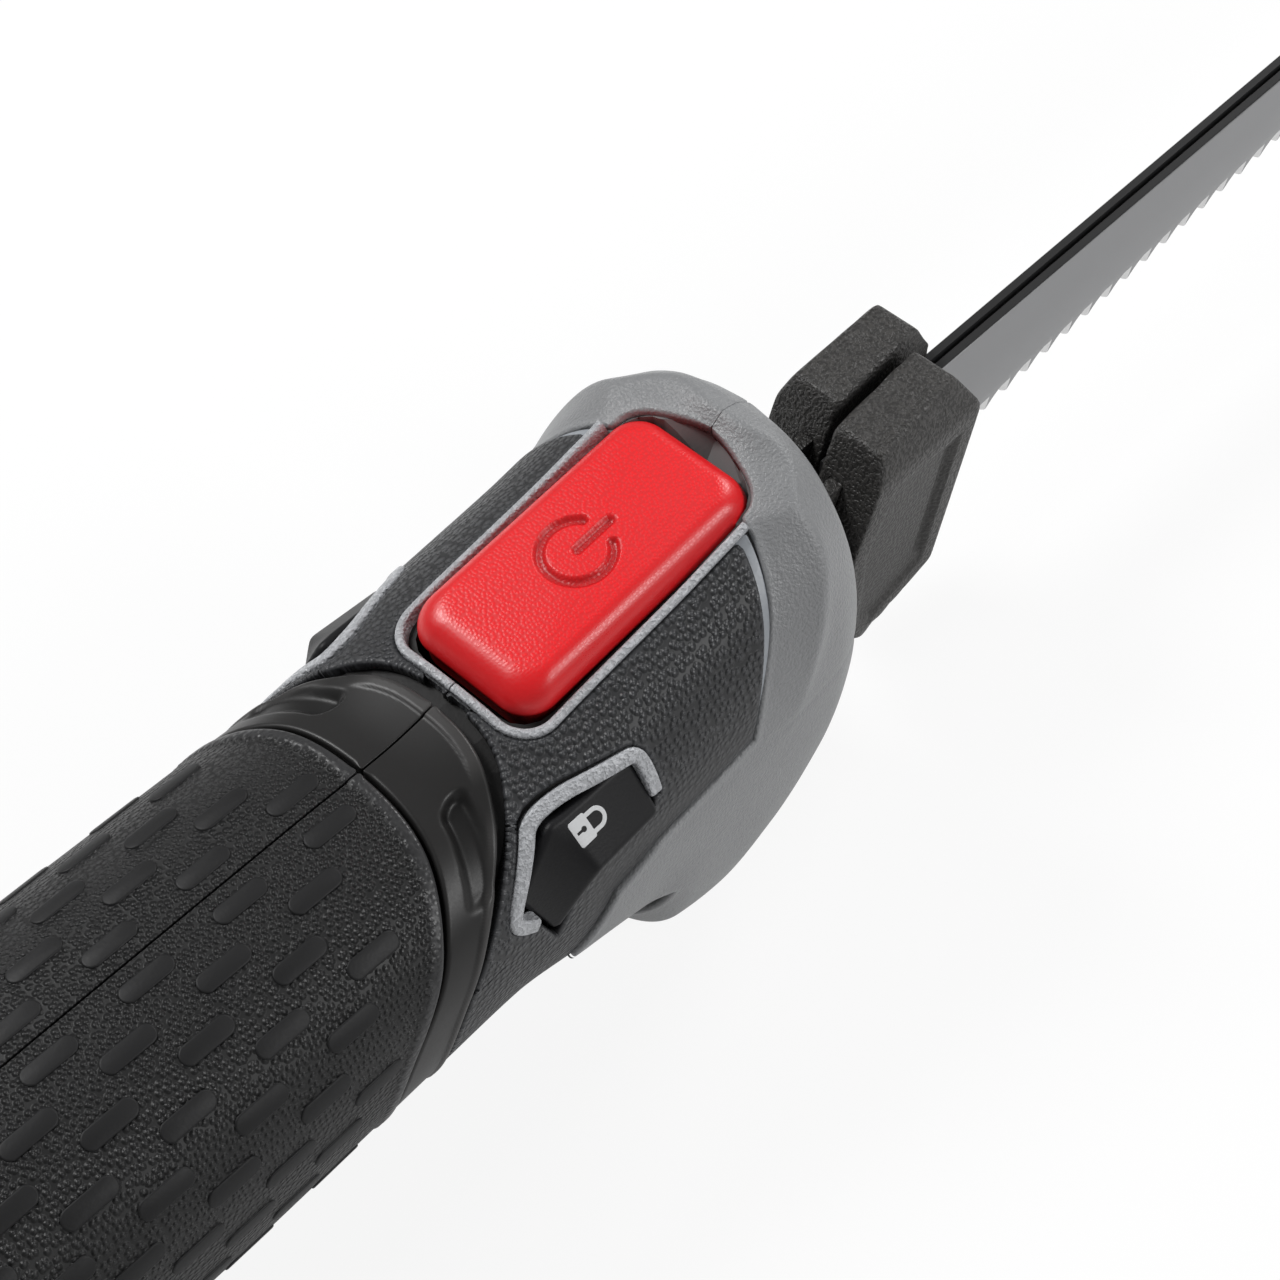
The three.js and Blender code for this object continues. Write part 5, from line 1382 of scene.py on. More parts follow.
@dataclass
class Covers:
    """The soft covers over the head, neck and grip."""

    thickness: float = 1.6
    head_span: Span = (-88.0, -10.0, 200)
    head_roll: float = 0.5
    least_roll: float = 0.05
    tongue_roll: float = 0.3
    head_highlight: Pair = (0.3, 1.4)
    shelf_z: Pair = (8.0, 3.0)
    shelf_x: Pair = (-64.0, -56.0)
    shelf_quiet: float = 0.9
    flank_z: Pair = (14.0, 3.0)
    flank_x: Pair = (-56.0, -34.0)
    flank_quiet: float = 0.8
    rim_box_half: float = 50.0
    rim_overlap: float = 0.1
    rim_gap: float = 0.02
    button_gap: float = 0.3
    lock_floor_z: float = -12.0
    neck_span: Span = (-99.0, -54.0, 170)
    neck_roll: float = 0.6
    lip_height: float = 0.3
    lip_highlight: float = 0.8
    upper_turn: Pair = (0.45, 0.62)
    upper_width: Pair = (1.7, 2.1)
    lower_turn: Pair = (0.7, 0.9)
    lower_width: Pair = (1.1, 1.5)
    scoop_start: Pair = (12.6, 4.6)
    scoop_end: Pair = (22.5, 2.2)
    scoop_radius: float = 2.3
    scoop_floor: float = 0.35
    scoop_depth: float = 1.35
    scoop_fade: float = 0.6
    grip_span: Span = (-198.0, -69.0, 200)
    grip_turns: Span = (-0.05, math.pi + 0.05, 170)
    grip_rear_x: float = -196.0
    grip_lip: Pair = (1.7, 2.2)
    grip_highlight: float = 0.9
    pad_grid: tuple[int, int] = (10, 9)
    pad_pitch: float = 15.0
    pad_row: float = 5.4
    pad_first_x: float = -82.0
    pad_first_row: float = 3.5
    pad_half_length: float = 4.1
    pad_half_width: float = 1.45
    pad_front_clear: float = 3.0
    pad_rear_clear: float = 2.0
    pad_levels: Line = ((0.0, -0.5), (0.0, 0.06), (0.1, 0.176), (0.3, 0.22))

    def head(self) -> MeshData:
        """The grained cover of the head, open round the trigger rim and the lock button.

        Returns:
            The left half.
        """
        sheet = handle_sheet(self.head_span)
        x, y, z = sheet.xyz
        from_rear = x - TRIGGER.rim_rear_x - self.rim_box_half
        sizes = self.rim_box_half, TRIGGER.rim_outside, TRIGGER.rim_corner
        to_trigger = np.where(z > 0, -box_distance(from_rear, y, *sizes) - self.rim_gap, CLEAR)
        near_rim = to_path(rounded_path(LOCK_RIM_LINE, rounds=2), x, z)
        by_lock = z > self.lock_floor_z
        to_lock = np.where(by_lock, near_rim - LOCK_RIM_WIDTH / 2 + self.rim_overlap, CLEAR)
        to_button = -signed_distance(LOCK_BUTTON, x, z) - self.button_gap
        to_neck = sheet.travel(-signed_distance(BEHIND_HEAD, x, z) - HEAD_HALF_GAP)
        to_rims = sheet.travel(to_trigger, to_lock)
        others = sheet.travel(
            signed_distance(BEHIND_COLLAR, x, z) - strip_reach(z),
            np.where(by_lock, to_button, CLEAR),
            y - SEAM_HALF_GAP,
        )
        inside = np.minimum(np.minimum(to_neck, to_rims), others)
        # Between the neck and a rim the cover thins out, and its edges roll less there.
        narrow = np.clip(self.tongue_roll * (to_neck + to_rims), self.least_roll, self.head_roll)
        roll = np.minimum(seam_roll(y, self.head_roll), narrow)
        # The grain fades low down and towards the front.
        shelf = smooth_step(*self.shelf_z, z) * smooth_step(*self.shelf_x, x)
        flank = smooth_step(*self.flank_z, z) * smooth_step(*self.flank_x, x)
        masks = {
            # Painted highlight along the cover's edges.
            "edge_highlight": 1.0 - smooth_step(*self.head_highlight, inside),
            "smooth_area": np.maximum(self.flank_quiet * flank, self.shelf_quiet * shelf),
            "skin_along": x,
            "skin_round": sheet.arc(),
        }
        return sheet.shell(inside, roll, self.thickness, masks=masks)

    def neck(self) -> MeshData:
        """The smooth band between head and grip, with a lip along its front and a hollow scoop.

        The lip is a flat raised strip; the scoop is a hollow about a slanting line that starts behind
        the lip's end and grows shallow on its way down to the front edge. The lip carries painted
        highlight and the scoop painted shade.

        Returns:
            The left half.
        """
        sheet = handle_sheet(self.neck_span)
        x, y, z = sheet.xyz
        from_head = sheet.travel(signed_distance(BEHIND_HEAD, x, z) - HEAD_HALF_GAP)
        to_grip = -signed_distance(BEHIND_NECK, x, z) - GRIP_HALF_GAP
        inside = np.minimum(from_head, sheet.travel(to_grip, y - SEAM_HALF_GAP))
        ends = np.array(self.scoop_start), np.array(self.scoop_end)
        away, share = to_segment(sheet.arc(), from_head, *ends)
        hollow = smooth_step(self.scoop_radius, self.scoop_floor * self.scoop_radius, away)
        hollow = hollow * (1.0 - self.scoop_fade * share)
        # The lip is wide on top, stops beside the scoop and goes on narrower below.
        upper, wide = smooth_step(*self.upper_turn, sheet.b), smooth_step(*self.upper_width, from_head)
        lower, slim = smooth_step(*self.lower_turn, sheet.b), smooth_step(*self.lower_width, from_head)
        lip = np.maximum((1.0 - upper) * (1.0 - wide), lower * (1.0 - slim)) * (1.0 - hollow)
        relief = self.lip_height * lip - self.scoop_depth * hollow
        # Painted highlight on the lip and painted shade in the scoop.
        masks = {"edge_highlight": self.lip_highlight * lip, "smooth_area": np.ones(x.shape), "hollow": hollow}
        return sheet.shell(inside, seam_roll(y, self.neck_roll), self.thickness, relief, masks)

    def grip(self) -> MeshData:
        """The grained cover of the grip with its smooth front lip.

        Returns:
            The left half.
        """
        sheet = handle_sheet(self.grip_span, np.linspace(*self.grip_turns))
        x, y, z = sheet.xyz
        from_neck = sheet.travel(signed_distance(BEHIND_NECK, x, z) - GRIP_HALF_GAP)
        inside = np.minimum(from_neck, sheet.travel(x - self.grip_rear_x, y - SEAM_HALF_GAP))
        lip = 1.0 - smooth_step(*self.grip_lip, from_neck)
        # Painted highlight on the front lip.
        masks = {"edge_highlight": self.grip_highlight * lip, "smooth_area": lip}
        masks |= {"skin_along": x, "skin_round": sheet.arc()}
        roll, relief = seam_roll(y, self.neck_roll), self.lip_height * lip
        return sheet.shell(inside, roll, self.thickness, relief, masks, roll_rows=4)

    def turn_at(self, x: Array, run: Array) -> Array:
        """Turn of the handle's surface where a given length has been run round it from the top seam.

        Args:
            x: Places along the handle.
            run: Lengths run.

        Returns:
            The turns, read between the steps of a table made for each place.
        """
        turns = np.linspace(0.0, math.pi, num=161)
        total = run_along(HANDLE.point(x[:, None], turns[None, :]))
        after = np.clip((total < run[:, None]).sum(axis=1), 1, len(turns) - 1)
        row = np.arange(len(x))
        low, high = total[row, after - 1], total[row, after]
        return turns[after - 1] + (run - low) / (high - low) * (turns[1] - turns[0])

    def pads(self) -> MeshData:
        """Smooth raised ovals in staggered rows: rings of a long oval, drawn in as they rise.

        Returns:
            All ovals of the left half.
        """
        row, column = (index.ravel() for index in np.indices(self.pad_grid))
        middle_x = self.pad_first_x - self.pad_pitch * (column + 0.5 * (row % 2))
        middle_run = self.pad_first_row + self.pad_row * row
        front = HANDLE.point(middle_x + self.pad_half_length, self.turn_at(middle_x, middle_run))
        clear = signed_distance(BEHIND_NECK, front[:, 0], front[:, 2]) > self.pad_front_clear
        clear &= middle_x - self.pad_half_length > self.grip_rear_x + self.pad_rear_clear
        middle_x, middle_run = middle_x[clear], middle_run[clear]
        angle = full_turn(steps=20)
        inset, lift = np.array(self.pad_levels).T[..., None]
        half = self.pad_half_width - inset
        straight = np.sign(np.cos(angle)) * (self.pad_half_length - self.pad_half_width)
        along, across = straight + half * np.cos(angle), half * np.sin(angle)
        one = ring_stack(np.stack([along, across, lift + 0 * along], axis=-1))
        u, v, w = one.points.T
        x, run = (middle_x[:, None] + u).ravel(), (middle_run[:, None] + v).ravel()
        turn = self.turn_at(x, run)
        rise = np.tile(w, len(middle_x))[:, None]
        start = (np.arange(len(middle_x)) * len(u))[:, None, None]
        faces = [(start + f).reshape(-1, f.shape[1]) for f in one.faces]
        return MeshData(HANDLE.point(x, turn) + HANDLE.normal(x, turn) * rise, faces)

    def build(self) -> None:
        """Make and dress both halves."""
        parts = (
            ("head_grip", self.head(), 180.0, CHARCOAL, "charcoal_rubber", "head_cover"),
            ("neck", self.neck(), 180.0, NECK, "neck_rubber", "neck_band"),
            ("grip", self.grip(), 180.0, GRIP, "grip_rubber", "grip_cover"),
            ("grip_pads", self.pads(), 50.0, PAD, "grip_rubber", ""),
        )
        for side in Side:
            for name, mesh, sharp, finish, slot, node in parts:
                nodes = (f"{node}_{side.word}",) if node else ()
                settle(mesh.half(name, side, sharp), "handle", finish, nodes)


@dataclass
class Trigger:
    """The red paddle with its engraved power sign."""

    sizes: TriggerSizes = TRIGGER
    crown: float = 0.45
    undercut: float = 0.5
    skirt: float = 1.2
    wall: float = 2.2
    ceiling: float = 5.2
    side_steps: tuple[int, int] = (112, 42)
    sign_x: float = -0.9
    sign_radius: float = 5.0
    sign_half_width: float = 0.95
    sign_opening: float = math.radians(34.0)
    bar_start: float = 0.2
    bar_end: float = 6.5
    sign_depth: float = 0.75
    sign_shade: float = 0.55
    sign_floor: float = 0.25
    sign_flare: float = 0.1
    face_depth: float = 1.5
    edge_fade: Pair = (0.0, -0.35)
    inner_shade: float = 0.9
    inner_fade: Pair = (-4.3, -5.0)

    def ring(self, inset: float) -> Array:
        """Outline of one level: straight sides with arcs between, drawn in longer at the rear.

        Args:
            inset: How far the level is drawn in.

        Returns:
            Points anticlockwise from the front left corner.
        """
        s = self.sizes
        radius = s.corner - inset / 2
        front = s.length / 2 - inset - radius
        rear = -s.length / 2 + inset * s.rear_reach + radius
        half = s.width / 2 - inset - radius
        middles = np.array([(front, half), (rear, half), (rear, -half), (front, -half)])
        parts = []
        for k in range(4):
            angle = np.linspace(0.0, QUARTER, num=15) + k * QUARTER
            arc = middles[k] + radius * np.stack([np.cos(angle), np.sin(angle)], axis=1)
            run = middles[(k + 1) % 4] - middles[k]
            share = np.linspace(0.0, 1.0, self.side_steps[k % 2])[1:-1, None]
            parts += [arc, arc[-1] + run * share]
        return np.vstack(parts)

    def sign(self, u: Array, v: Array) -> Array:
        """Depth share of the power sign: a ring open to the front, with a bar through the opening.

        Args:
            u: Places along the trigger.
            v: Places across it.

        Returns:
            Shares from 0 on the face to 1 in the groove.
        """
        u = u - self.sign_x
        opening, radius = self.sign_opening, self.sign_radius
        end_u, end_v = math.cos(opening) * radius, math.sin(opening) * radius
        to_end = np.hypot(u - end_u, np.abs(v) - end_v)
        on_ring = np.abs(np.arctan2(v, u)) > opening
        ring = np.where(on_ring, np.abs(np.hypot(u, v) - radius), to_end)
        bar = np.hypot(np.maximum(np.maximum(self.bar_start - u, u - self.bar_end), 0.0), v)
        floor = self.sign_floor * self.sign_half_width
        return 1.0 - smooth_step(floor, self.sign_half_width + self.sign_flare, np.minimum(ring, bar))

    def build(self) -> None:
        """Make and dress the paddle from its hollow underside up to the middle of its top."""
        s = self.sizes
        angle = np.linspace(0.0, QUARTER, num=16)
        insets = [self.wall, self.wall, self.undercut, self.undercut]
        insets += [*(s.edge_width * (1 - np.cos(angle)))]
        heights = [-self.ceiling, -s.height, -s.height, -s.edge_drop - self.skirt]
        heights += [*(-s.edge_drop * (1 - np.sin(angle)))]
        outlines = [self.ring(inset) for inset in insets]
        levels = [np.column_stack([o, np.full(len(o), h)]) for o, h in zip(outlines, heights)]
        shares = np.linspace(1.0, 0.0, num=76)[1:-1, None, None]
        inner = outlines[-1] * shares
        lift = self.crown * (1 - shares[..., 0] ** 2)
        lift = lift - self.sign_depth * self.sign(inner[..., 0], inner[..., 1])
        rings = np.concatenate([levels, np.concatenate([inner, lift[..., None]], axis=-1)])
        made = ring_stack(rings)
        u, v, w = made.points.T
        sign, below = self.sign(u, v), self.inner_shade * smooth_step(*self.inner_fade, w)
        made.masks = {
            "skin_along": u,
            "skin_round": v + np.sign(v) * np.maximum(-w, 0.0),
            # Painted shade in the sign's groove and on the lower side wall.
            "hollow": np.where(w > -self.face_depth, self.sign_shade * sign, below),
            "smooth_area": smooth_step(*self.edge_fade, w) * (1.0 - sign),
        }
        x = u * math.cos(s.slope) - w * math.sin(s.slope) + s.middle_x
        z = u * math.sin(s.slope) + w * math.cos(s.slope) + s.top_z
        made.points = np.stack([x, v, z], axis=1)
        settle(made.piece("trigger_paddle", 60.0), "trigger", RED, ("trigger",))


@dataclass
class TriggerLock:
    """The cross bar's two bent buttons, with a padlock sign on the right one's sloping facet.

    The face of a button is ruled between an upper and a lower rail, given as X, Y and Z at the front,
    at the bend and at the rear.
    """

    upper_rail: Line = ((-46.2, 21.6, 14.8), (-61.4, 21.6, 14.8), (-68.8, 23.2, 6.6))
    lower_rail: Line = ((-46.2, 27.4, 7.4), (-58.6, 28.1, 7.4), (-64.4, 25.4, -3.8))
    overrun: float = 2.0
    bend_reach: float = 2.0
    length: float = 25.0
    width: float = 10.0
    depth: float = 5.0
    roll: float = 0.9
    cap_along: Span = (-0.06, 1.06, 130)
    cap_across: Span = (1.15, -0.15, 60)
    sign_along: float = 11.4
    sign_across: float = 0.36
    sign_length: float = 26.0
    sign_width: float = 9.6
    sign_lift: Triple = (0.0, 0.0365, 0.034)
    body_half_length: float = 1.45
    body_half_width: float = 1.95
    body_corner: float = 0.4
    shackle_radius: float = 1.3
    shackle_half_width: float = 0.32
    shackle_rise: float = 1.2
    shackle_overlap: float = 0.3
    keyhole_offset: float = 0.3
    keyhole_radius: float = 0.42
    keyway_half_width: float = 0.2
    keyway_half_length: float = 0.62
    sign_long: Span = (-2.4, 5.0, 110)
    sign_wide: Span = (-2.6, 2.6, 80)

    def rail(self, corners: Line) -> tuple[Array, Array]:
        """One rail with its bend softened, run on past both ends.

        Args:
            corners: Its three points.

        Returns:
            Points along it, and the share of its length travelled at each from the front.
        """
        front, bend, rear = np.asarray(corners, float)
        ahead, back = unit(front - bend), unit(rear - bend)
        inner = [bend + ahead * self.bend_reach, bend, bend + back * self.bend_reach]
        points = [front + ahead * self.overrun, *inner, rear + back * self.overrun]
        line = evenly_spaced(rounded_path(points, rounds=3), step=0.3)
        travel = run_along(line)
        return line, (travel - self.overrun) / (travel[-1] - 2 * self.overrun)

    def face(self, along: Array, across: Array) -> Array:
        """Point of the face: the rails' points at the same share of their length, blended across.

        Args:
            along: Share of the rails' length.
            across: Share of the way from the upper rail to the lower one.

        Returns:
            The points.
        """
        ends = []
        for corners in (self.upper_rail, self.lower_rail):
            line, share = self.rail(corners)
            ends.append(np.stack([np.interp(along, share, column) for column in line.T], axis=-1))
        return ends[0] + (ends[1] - ends[0]) * across[..., None]

    def cap(self) -> MeshData:
        """One button, its edges rolled over and its walls carried down into the handle.

        Returns:
            The left button.
        """
        sheet = Sheet(self.face, np.linspace(*self.cap_along), np.linspace(*self.cap_across))
        along, across = sheet.a * self.length, sheet.b * self.width
        inside = sheet.travel(along, self.length - along, across, self.width - across)
        return sheet.shell(inside, self.roll, self.depth, roll_rows=6)

    def sign(self) -> MeshData:
        """A closed padlock: a rounded body with a keyhole, and a hoop whose legs run forward.

        Returns:
            The sign as it would be on the left button.
        """

        def surface(a: Array, b: Array) -> Array:
            """Point just off the button's face, a forward and b down from the sign's middle."""
            along, across = self.sign_along - a, self.sign_across + b / self.sign_width
            return self.face(along / self.sign_length, across) + self.sign_lift

        sheet = Sheet(surface, np.linspace(*self.sign_long), np.linspace(*self.sign_wide))
        a, b = sheet.a, sheet.b
        start = self.body_half_length
        hole = np.hypot(a - self.keyhole_offset, b) - self.keyhole_radius
        keyway = np.abs(a + self.keyhole_offset) - self.keyway_half_length
        keyway = np.maximum(np.abs(b) - self.keyway_half_width, keyway)
        body = box_distance(a, b, start, self.body_half_width, self.body_corner)
        body = np.minimum(body, np.minimum(hole, keyway))
        beyond = np.maximum(a - start - self.shackle_rise, 0.0)
        hoop = self.shackle_half_width - np.abs(np.hypot(beyond, b) - self.shackle_radius)
        hoop = np.minimum(hoop, a - start + self.shackle_overlap)
        return sheet.shell(np.maximum(body, hoop), roll=0.03, thickness=0.12, roll_rows=2)

    def build(self) -> None:
        """Make and dress both buttons, and the sign on the right one."""
        cap = self.cap()
        for side in Side:
            nodes = (f"lock_button_{side.word}",)
            settle(cap.half("lock_cap", side, 60.0), "lock", BLACK, nodes)
        settle(self.sign().half("padlock_sign", Side.RIGHT), "lock", SIGN)


@dataclass
class BladeSet:
    """Two toothed blades with their hubs, and the drive posts that carry them."""

    offset: float = 1.9
    inner_y: float = 0.35
    thickness: float = 1.6
    tang_x: float = 20.0
    heel_x: float = 46.0
    heel_z: float = -20.0
    tip_x: float = 230.1
    tip_z: float = -11.0
    belly_x: float = 170.0
    tip_curve: float = 20.0
    spine_z: float = 2.9
    spine_corner: float = 0.28
    tooth_pitch: float = 5.5
    tooth_depth: float = 3.2
    hollow_power: float = 1.6
    gullet_share: float = 0.57
    wall_share: float = 0.75
    wall_foot: float = 0.24
    foot_share: float = 0.94
    rise_shares: tuple[float, ...] = (0.0, 0.15, 0.3, 0.45, 0.6, 0.75, 0.9, 1.0)
    wall_start: float = 0.01
    tooth_end: float = 0.995
    heel_clear: float = 0.3
    ground_from: float = 0.005
    chamfer: float = 0.7
    grind_height: float = 5.2
    edge_thickness: float = 0.9
    least_height: float = 0.25
    ledge_rise: float = 0.12
    gullet_clear: Pair = (0.02, 0.2)
    ledge_clear: Pair = (0.03, 0.18)
    grind_clear: Pair = (0.05, 0.15)
    corner_share: float = 0.3
    outer_bevel: float = 0.22
    inner_bevel: float = 0.12
    rivet_x: float = 206.0
    rivet_z: float = -6.0
    slot_half_height: float = 1.48
    slot_reach: float = 3.8
    hub_outline: Line = (
        *((21.7, 9.8), (14.6, -9.0), (14.6, -26.0), (19.0, -30.0)),
        *((36.0, -25.0), (44.0, 5.2), (39.6, 12.5)),
    )
    hub_panel: Line = (
        *((24.2, 2.4), (18.2, -9.0), (18.0, -23.5)),
        *((21.0, -26.2), (33.2, -22.4), (39.6, 2.0)),
    )
    hub_strip: Line = ((36.2, 0.6), (31.0, -19.5), (33.0, -21.0), (38.4, 0.4))
    hub_middle: Pair = (29.0, -8.0)
    hub_inner: float = 1.2
    hub_outer: float = 12.0
    hub_slant: Triple = (0.0, 6.0, 2.4)
    hub_shoulder_z: float = 5.2
    hub_sharpness: float = 44.0
    hub_tilts: tuple[Span, Span] = ((-1.5, 0.25, 60), (0.27, 1.53, 110))
    hub_sink: float = 0.5
    hub_face: Pair = (1.6, 0.8)
    hub_highlight: Pair = (0.985, 0.965)
    hub_quiet: float = 0.55
    quiet_margin: float = 0.6
    panel_wall: Pair = (-0.1, 0.7)
    strip_wall: Pair = (-0.1, 0.6)
    socket_low: Triple = (10.0, 3.22, -11.08)
    socket_high: Triple = (30.3, 5.78, 2.48)

    def hub(self) -> MeshData:
        """One hub: a block between planes with its edges rounded, a panel sunk into its outer face.

        With the planes n . p <= d about a middle point, the surface lies at the radius
        (sum of max(0, n . u / d)^p)^(-1/p) in the direction u, which is the block itself but for its
        edges. Directions run round the Y axis and from the inner to the outer face.

        Returns:
            The left hub, before it is set along its blade.
        """
        outline = np.asarray(self.hub_outline)
        middle = np.insert(self.hub_middle, 1, (self.hub_inner + self.hub_outer) / 2)
        run = np.roll(outline, -1, axis=0) - outline
        normals = unit(np.insert(run[:, ::-1] * [1.0, -1.0], 1, 0.0, axis=1))
        corners = np.insert(outline, 1, middle[1], axis=1)
        reach = ((corners - middle) * normals).sum(axis=1)
        normals *= np.sign(reach)[:, None]
        slant = unit(np.array(self.hub_slant))
        shoulder = np.array([middle[0], self.hub_outer, self.hub_shoulder_z])
        half = self.hub_outer - middle[1]
        normals = np.vstack([normals, [(0.0, 1.0, 0.0), (0.0, -1.0, 0.0), slant]])
        reach = np.append(np.abs(reach), [half, half, (shoulder - middle) @ slant])
        rise = np.concatenate([np.linspace(*span) for span in self.hub_tilts])
        tilt, angle = np.meshgrid(rise, full_turn(steps=240), indexing="ij")
        flat = np.cos(tilt)
        ray = np.stack([flat * np.cos(angle), np.sin(tilt), flat * np.sin(angle)], axis=-1)
        pull = np.maximum(ray @ normals.T / reach, 0.0)
        radius = (pull**self.hub_sharpness).sum(axis=-1) ** (-1.0 / self.hub_sharpness)
        points = middle + ray * radius[..., None]
        x, y, z = np.moveaxis(points, -1, 0)
        inside = signed_distance(np.asarray(self.hub_panel), x, z)
        strip = signed_distance(np.asarray(self.hub_strip), x, z)
        on_face = smooth_step(*(self.hub_outer - drop for drop in self.hub_face), y)
        walls = smooth_step(*self.panel_wall, inside) + smooth_step(*self.strip_wall, strip)
        sunk = self.hub_sink * walls
        points[..., 1] -= sunk * on_face
        # Painted highlight along the hub's edges.
        lightened = smooth_step(*self.hub_highlight, pull.max(axis=-1) * radius)
        quiet = self.hub_quiet * on_face * (inside > -self.quiet_margin)
        return ring_stack(points, {"edge_highlight": lightened, "smooth_area": quiet})

    def socket(self) -> MeshData:
        """The room in the left hub for its drive post.

        Returns:
            A box.
        """
        (x0, y0, z0), (x1, y1, z1) = self.socket_low, self.socket_high
        flat = ((y0, z0), (y1, z0), (y1, z1), (y0, z1))
        return ring_stack(np.array([[(x, *corner) for corner in flat] for x in (x0, x1)]))

    def edge_line(self, x: Array) -> Array:
        """Height of the line through the tooth tips."""
        slope = (self.tip_z - self.heel_z) / (self.tip_x - self.heel_x)
        return self.heel_z + np.maximum(x - self.heel_x, 0.0) * slope

    def edge(self, x: Array) -> Array:
        """Height of the cutting edge: from each tip a hollow rise to a gullet, then a steep wall.

        The rise is 1 - (1 - t)^hollow_power over the run to the gullet; the wall drops most of the
        way at once and the rest along the sloping foot of the next tooth.

        Args:
            x: Places along the blade.

        Returns:
            Heights.
        """
        share = self.tooth_share(x)
        stops = [self.gullet_share, self.wall_share, self.foot_share]
        drop = np.interp(share, stops, [1.0, self.wall_foot, 0.0])
        ahead = 1.0 - np.clip(share / self.gullet_share, 0.0, 1.0)
        height = np.where(share < self.gullet_share, 1.0 - ahead**self.hollow_power, drop)
        return self.edge_line(x) + self.tooth_depth * height

    def tooth_count(self) -> int:
        """Number of whole teeth."""
        return math.floor((self.tip_x - self.heel_x - self.tooth_pitch) / self.tooth_pitch)

    def tooth_share(self, x: Array) -> Array:
        """Share of its tooth that each place has run through.

        Args:
            x: Places along the blade.

        Returns:
            The shares, 0 outside the toothed length.
        """
        along = (x - self.heel_x) / self.tooth_pitch
        toothed = (along >= 0) & (along < self.tooth_count() - 1e-6)
        return np.where(toothed, along - np.floor(along + 1e-9), 0.0)

    def spine(self, x: Array) -> Array:
        """Height of the spine: level, then down to the tip along a quadratic curve.

        Args:
            x: Places along the blade.

        Returns:
            Heights.
        """
        t = np.linspace(0.0, 1.0, num=200)
        control = self.tip_x - self.tip_curve
        curve_x = (1 - t) ** 2 * self.belly_x + 2 * t * (1 - t) * control + t**2 * self.tip_x
        return np.interp(x, curve_x, (1 - t**2) * self.spine_z + t**2 * self.tip_z)

    def places(self) -> Array:
        """Places along the blade where it has a section: few on the tang and tip, many on each tooth.

        Returns:
            The places, from the tang to the tip.
        """
        rise = np.array(self.rise_shares) * self.gullet_share
        drop = [self.gullet_share + self.wall_start, self.wall_share, self.foot_share, self.tooth_end]
        teeth = np.arange(self.tooth_count())[:, None] + np.append(rise, drop)
        end = self.heel_x + self.tooth_pitch * self.tooth_count()
        tang = np.linspace(self.tang_x, self.heel_x - self.heel_clear, num=12)
        tip = np.linspace(end, self.tip_x, num=24)
        return np.concatenate([tang, (self.heel_x + self.tooth_pitch * teeth).ravel(), tip])

    def blade(self) -> MeshData:
        """One blade: a closed section at each place along it, thinned towards the teeth outside.

        Behind each tooth's wall the outer face is ground away, most at the gullet.

        Returns:
            The left blade, before it is set along its drive.
        """
        x = self.places()
        low, line = self.edge(x), self.edge_line(x)
        high = np.maximum(self.spine(x), low + self.least_height)

        def held(level: Array, clear: Pair) -> Array:
            """A level kept a little clear of the edge below it and of the spine above it."""
            return np.clip(level, low + clear[0], high - clear[1])

        def depth(z: Array) -> Array:
            """Outer face's distance from the middle at height z."""
            share = np.clip((z - line) / self.grind_height + (x < self.heel_x - 1), 0.0, 1.0)
            return self.inner_y + self.edge_thickness + (self.thickness - self.edge_thickness) * share

        gullet = held(line + self.tooth_depth, self.gullet_clear)
        ledge = held(gullet + self.ledge_rise, self.ledge_clear)
        grind = held(line + self.grind_height, self.grind_clear)
        middle = (grind + high) / 2
        corner = np.minimum(self.spine_corner, self.corner_share * (high - low))
        share = self.tooth_share(x)
        ground = share > self.gullet_share + self.ground_from
        back = np.clip((1.0 - share) / (1.0 - self.gullet_share), 0.0, 1.0)
        cut = np.where(ground, self.chamfer * back, 0.0)
        inner = np.full(len(x), self.inner_y)
        # Up the outer face, over the spine and down the inner face.
        rows = (
            (depth(low) - cut, low),
            (depth(gullet) - cut, gullet),
            (depth(ledge), ledge),
            (depth(grind), grind),
            (depth(middle), middle),
            (depth(high - corner), high - corner),
            (depth(high) - self.outer_bevel, high),
            (inner + self.inner_bevel, high),
            (inner, high - corner),
            (inner, middle),
            (inner, low),
        )
        rings = np.stack([np.stack([x, y, z], axis=1) for y, z in rows], axis=1)
        row = np.arange(len(rows))
        below_ledge, from_spine = row < 2, row > 5
        bright = ground[:, None] & below_ledge
        coated = np.broadcast_to(from_spine, bright.shape)
        return ring_stack(rings, {"coated": coated.astype(float), "ground": bright.astype(float)})

    def slot(self) -> MeshData:
        """The slot in the right blade for the tip rivet, which the left blade carries.

        Returns:
            A bar with round ends, across the right blade.
        """
        angle = np.linspace(0.0, math.pi, num=13)
        radius = self.slot_half_height
        front = np.stack([self.slot_reach + radius * np.sin(angle), radius * np.cos(angle)], axis=1)
        outline = np.vstack([front, -front]) + [self.rivet_x - self.offset, self.rivet_z]
        outside = -self.inner_y - self.thickness - 1.0
        ends = [np.insert(outline, 1, y, axis=1) for y in (0.0, outside)]
        return ring_stack(np.stack(ends)[:, ::-1])

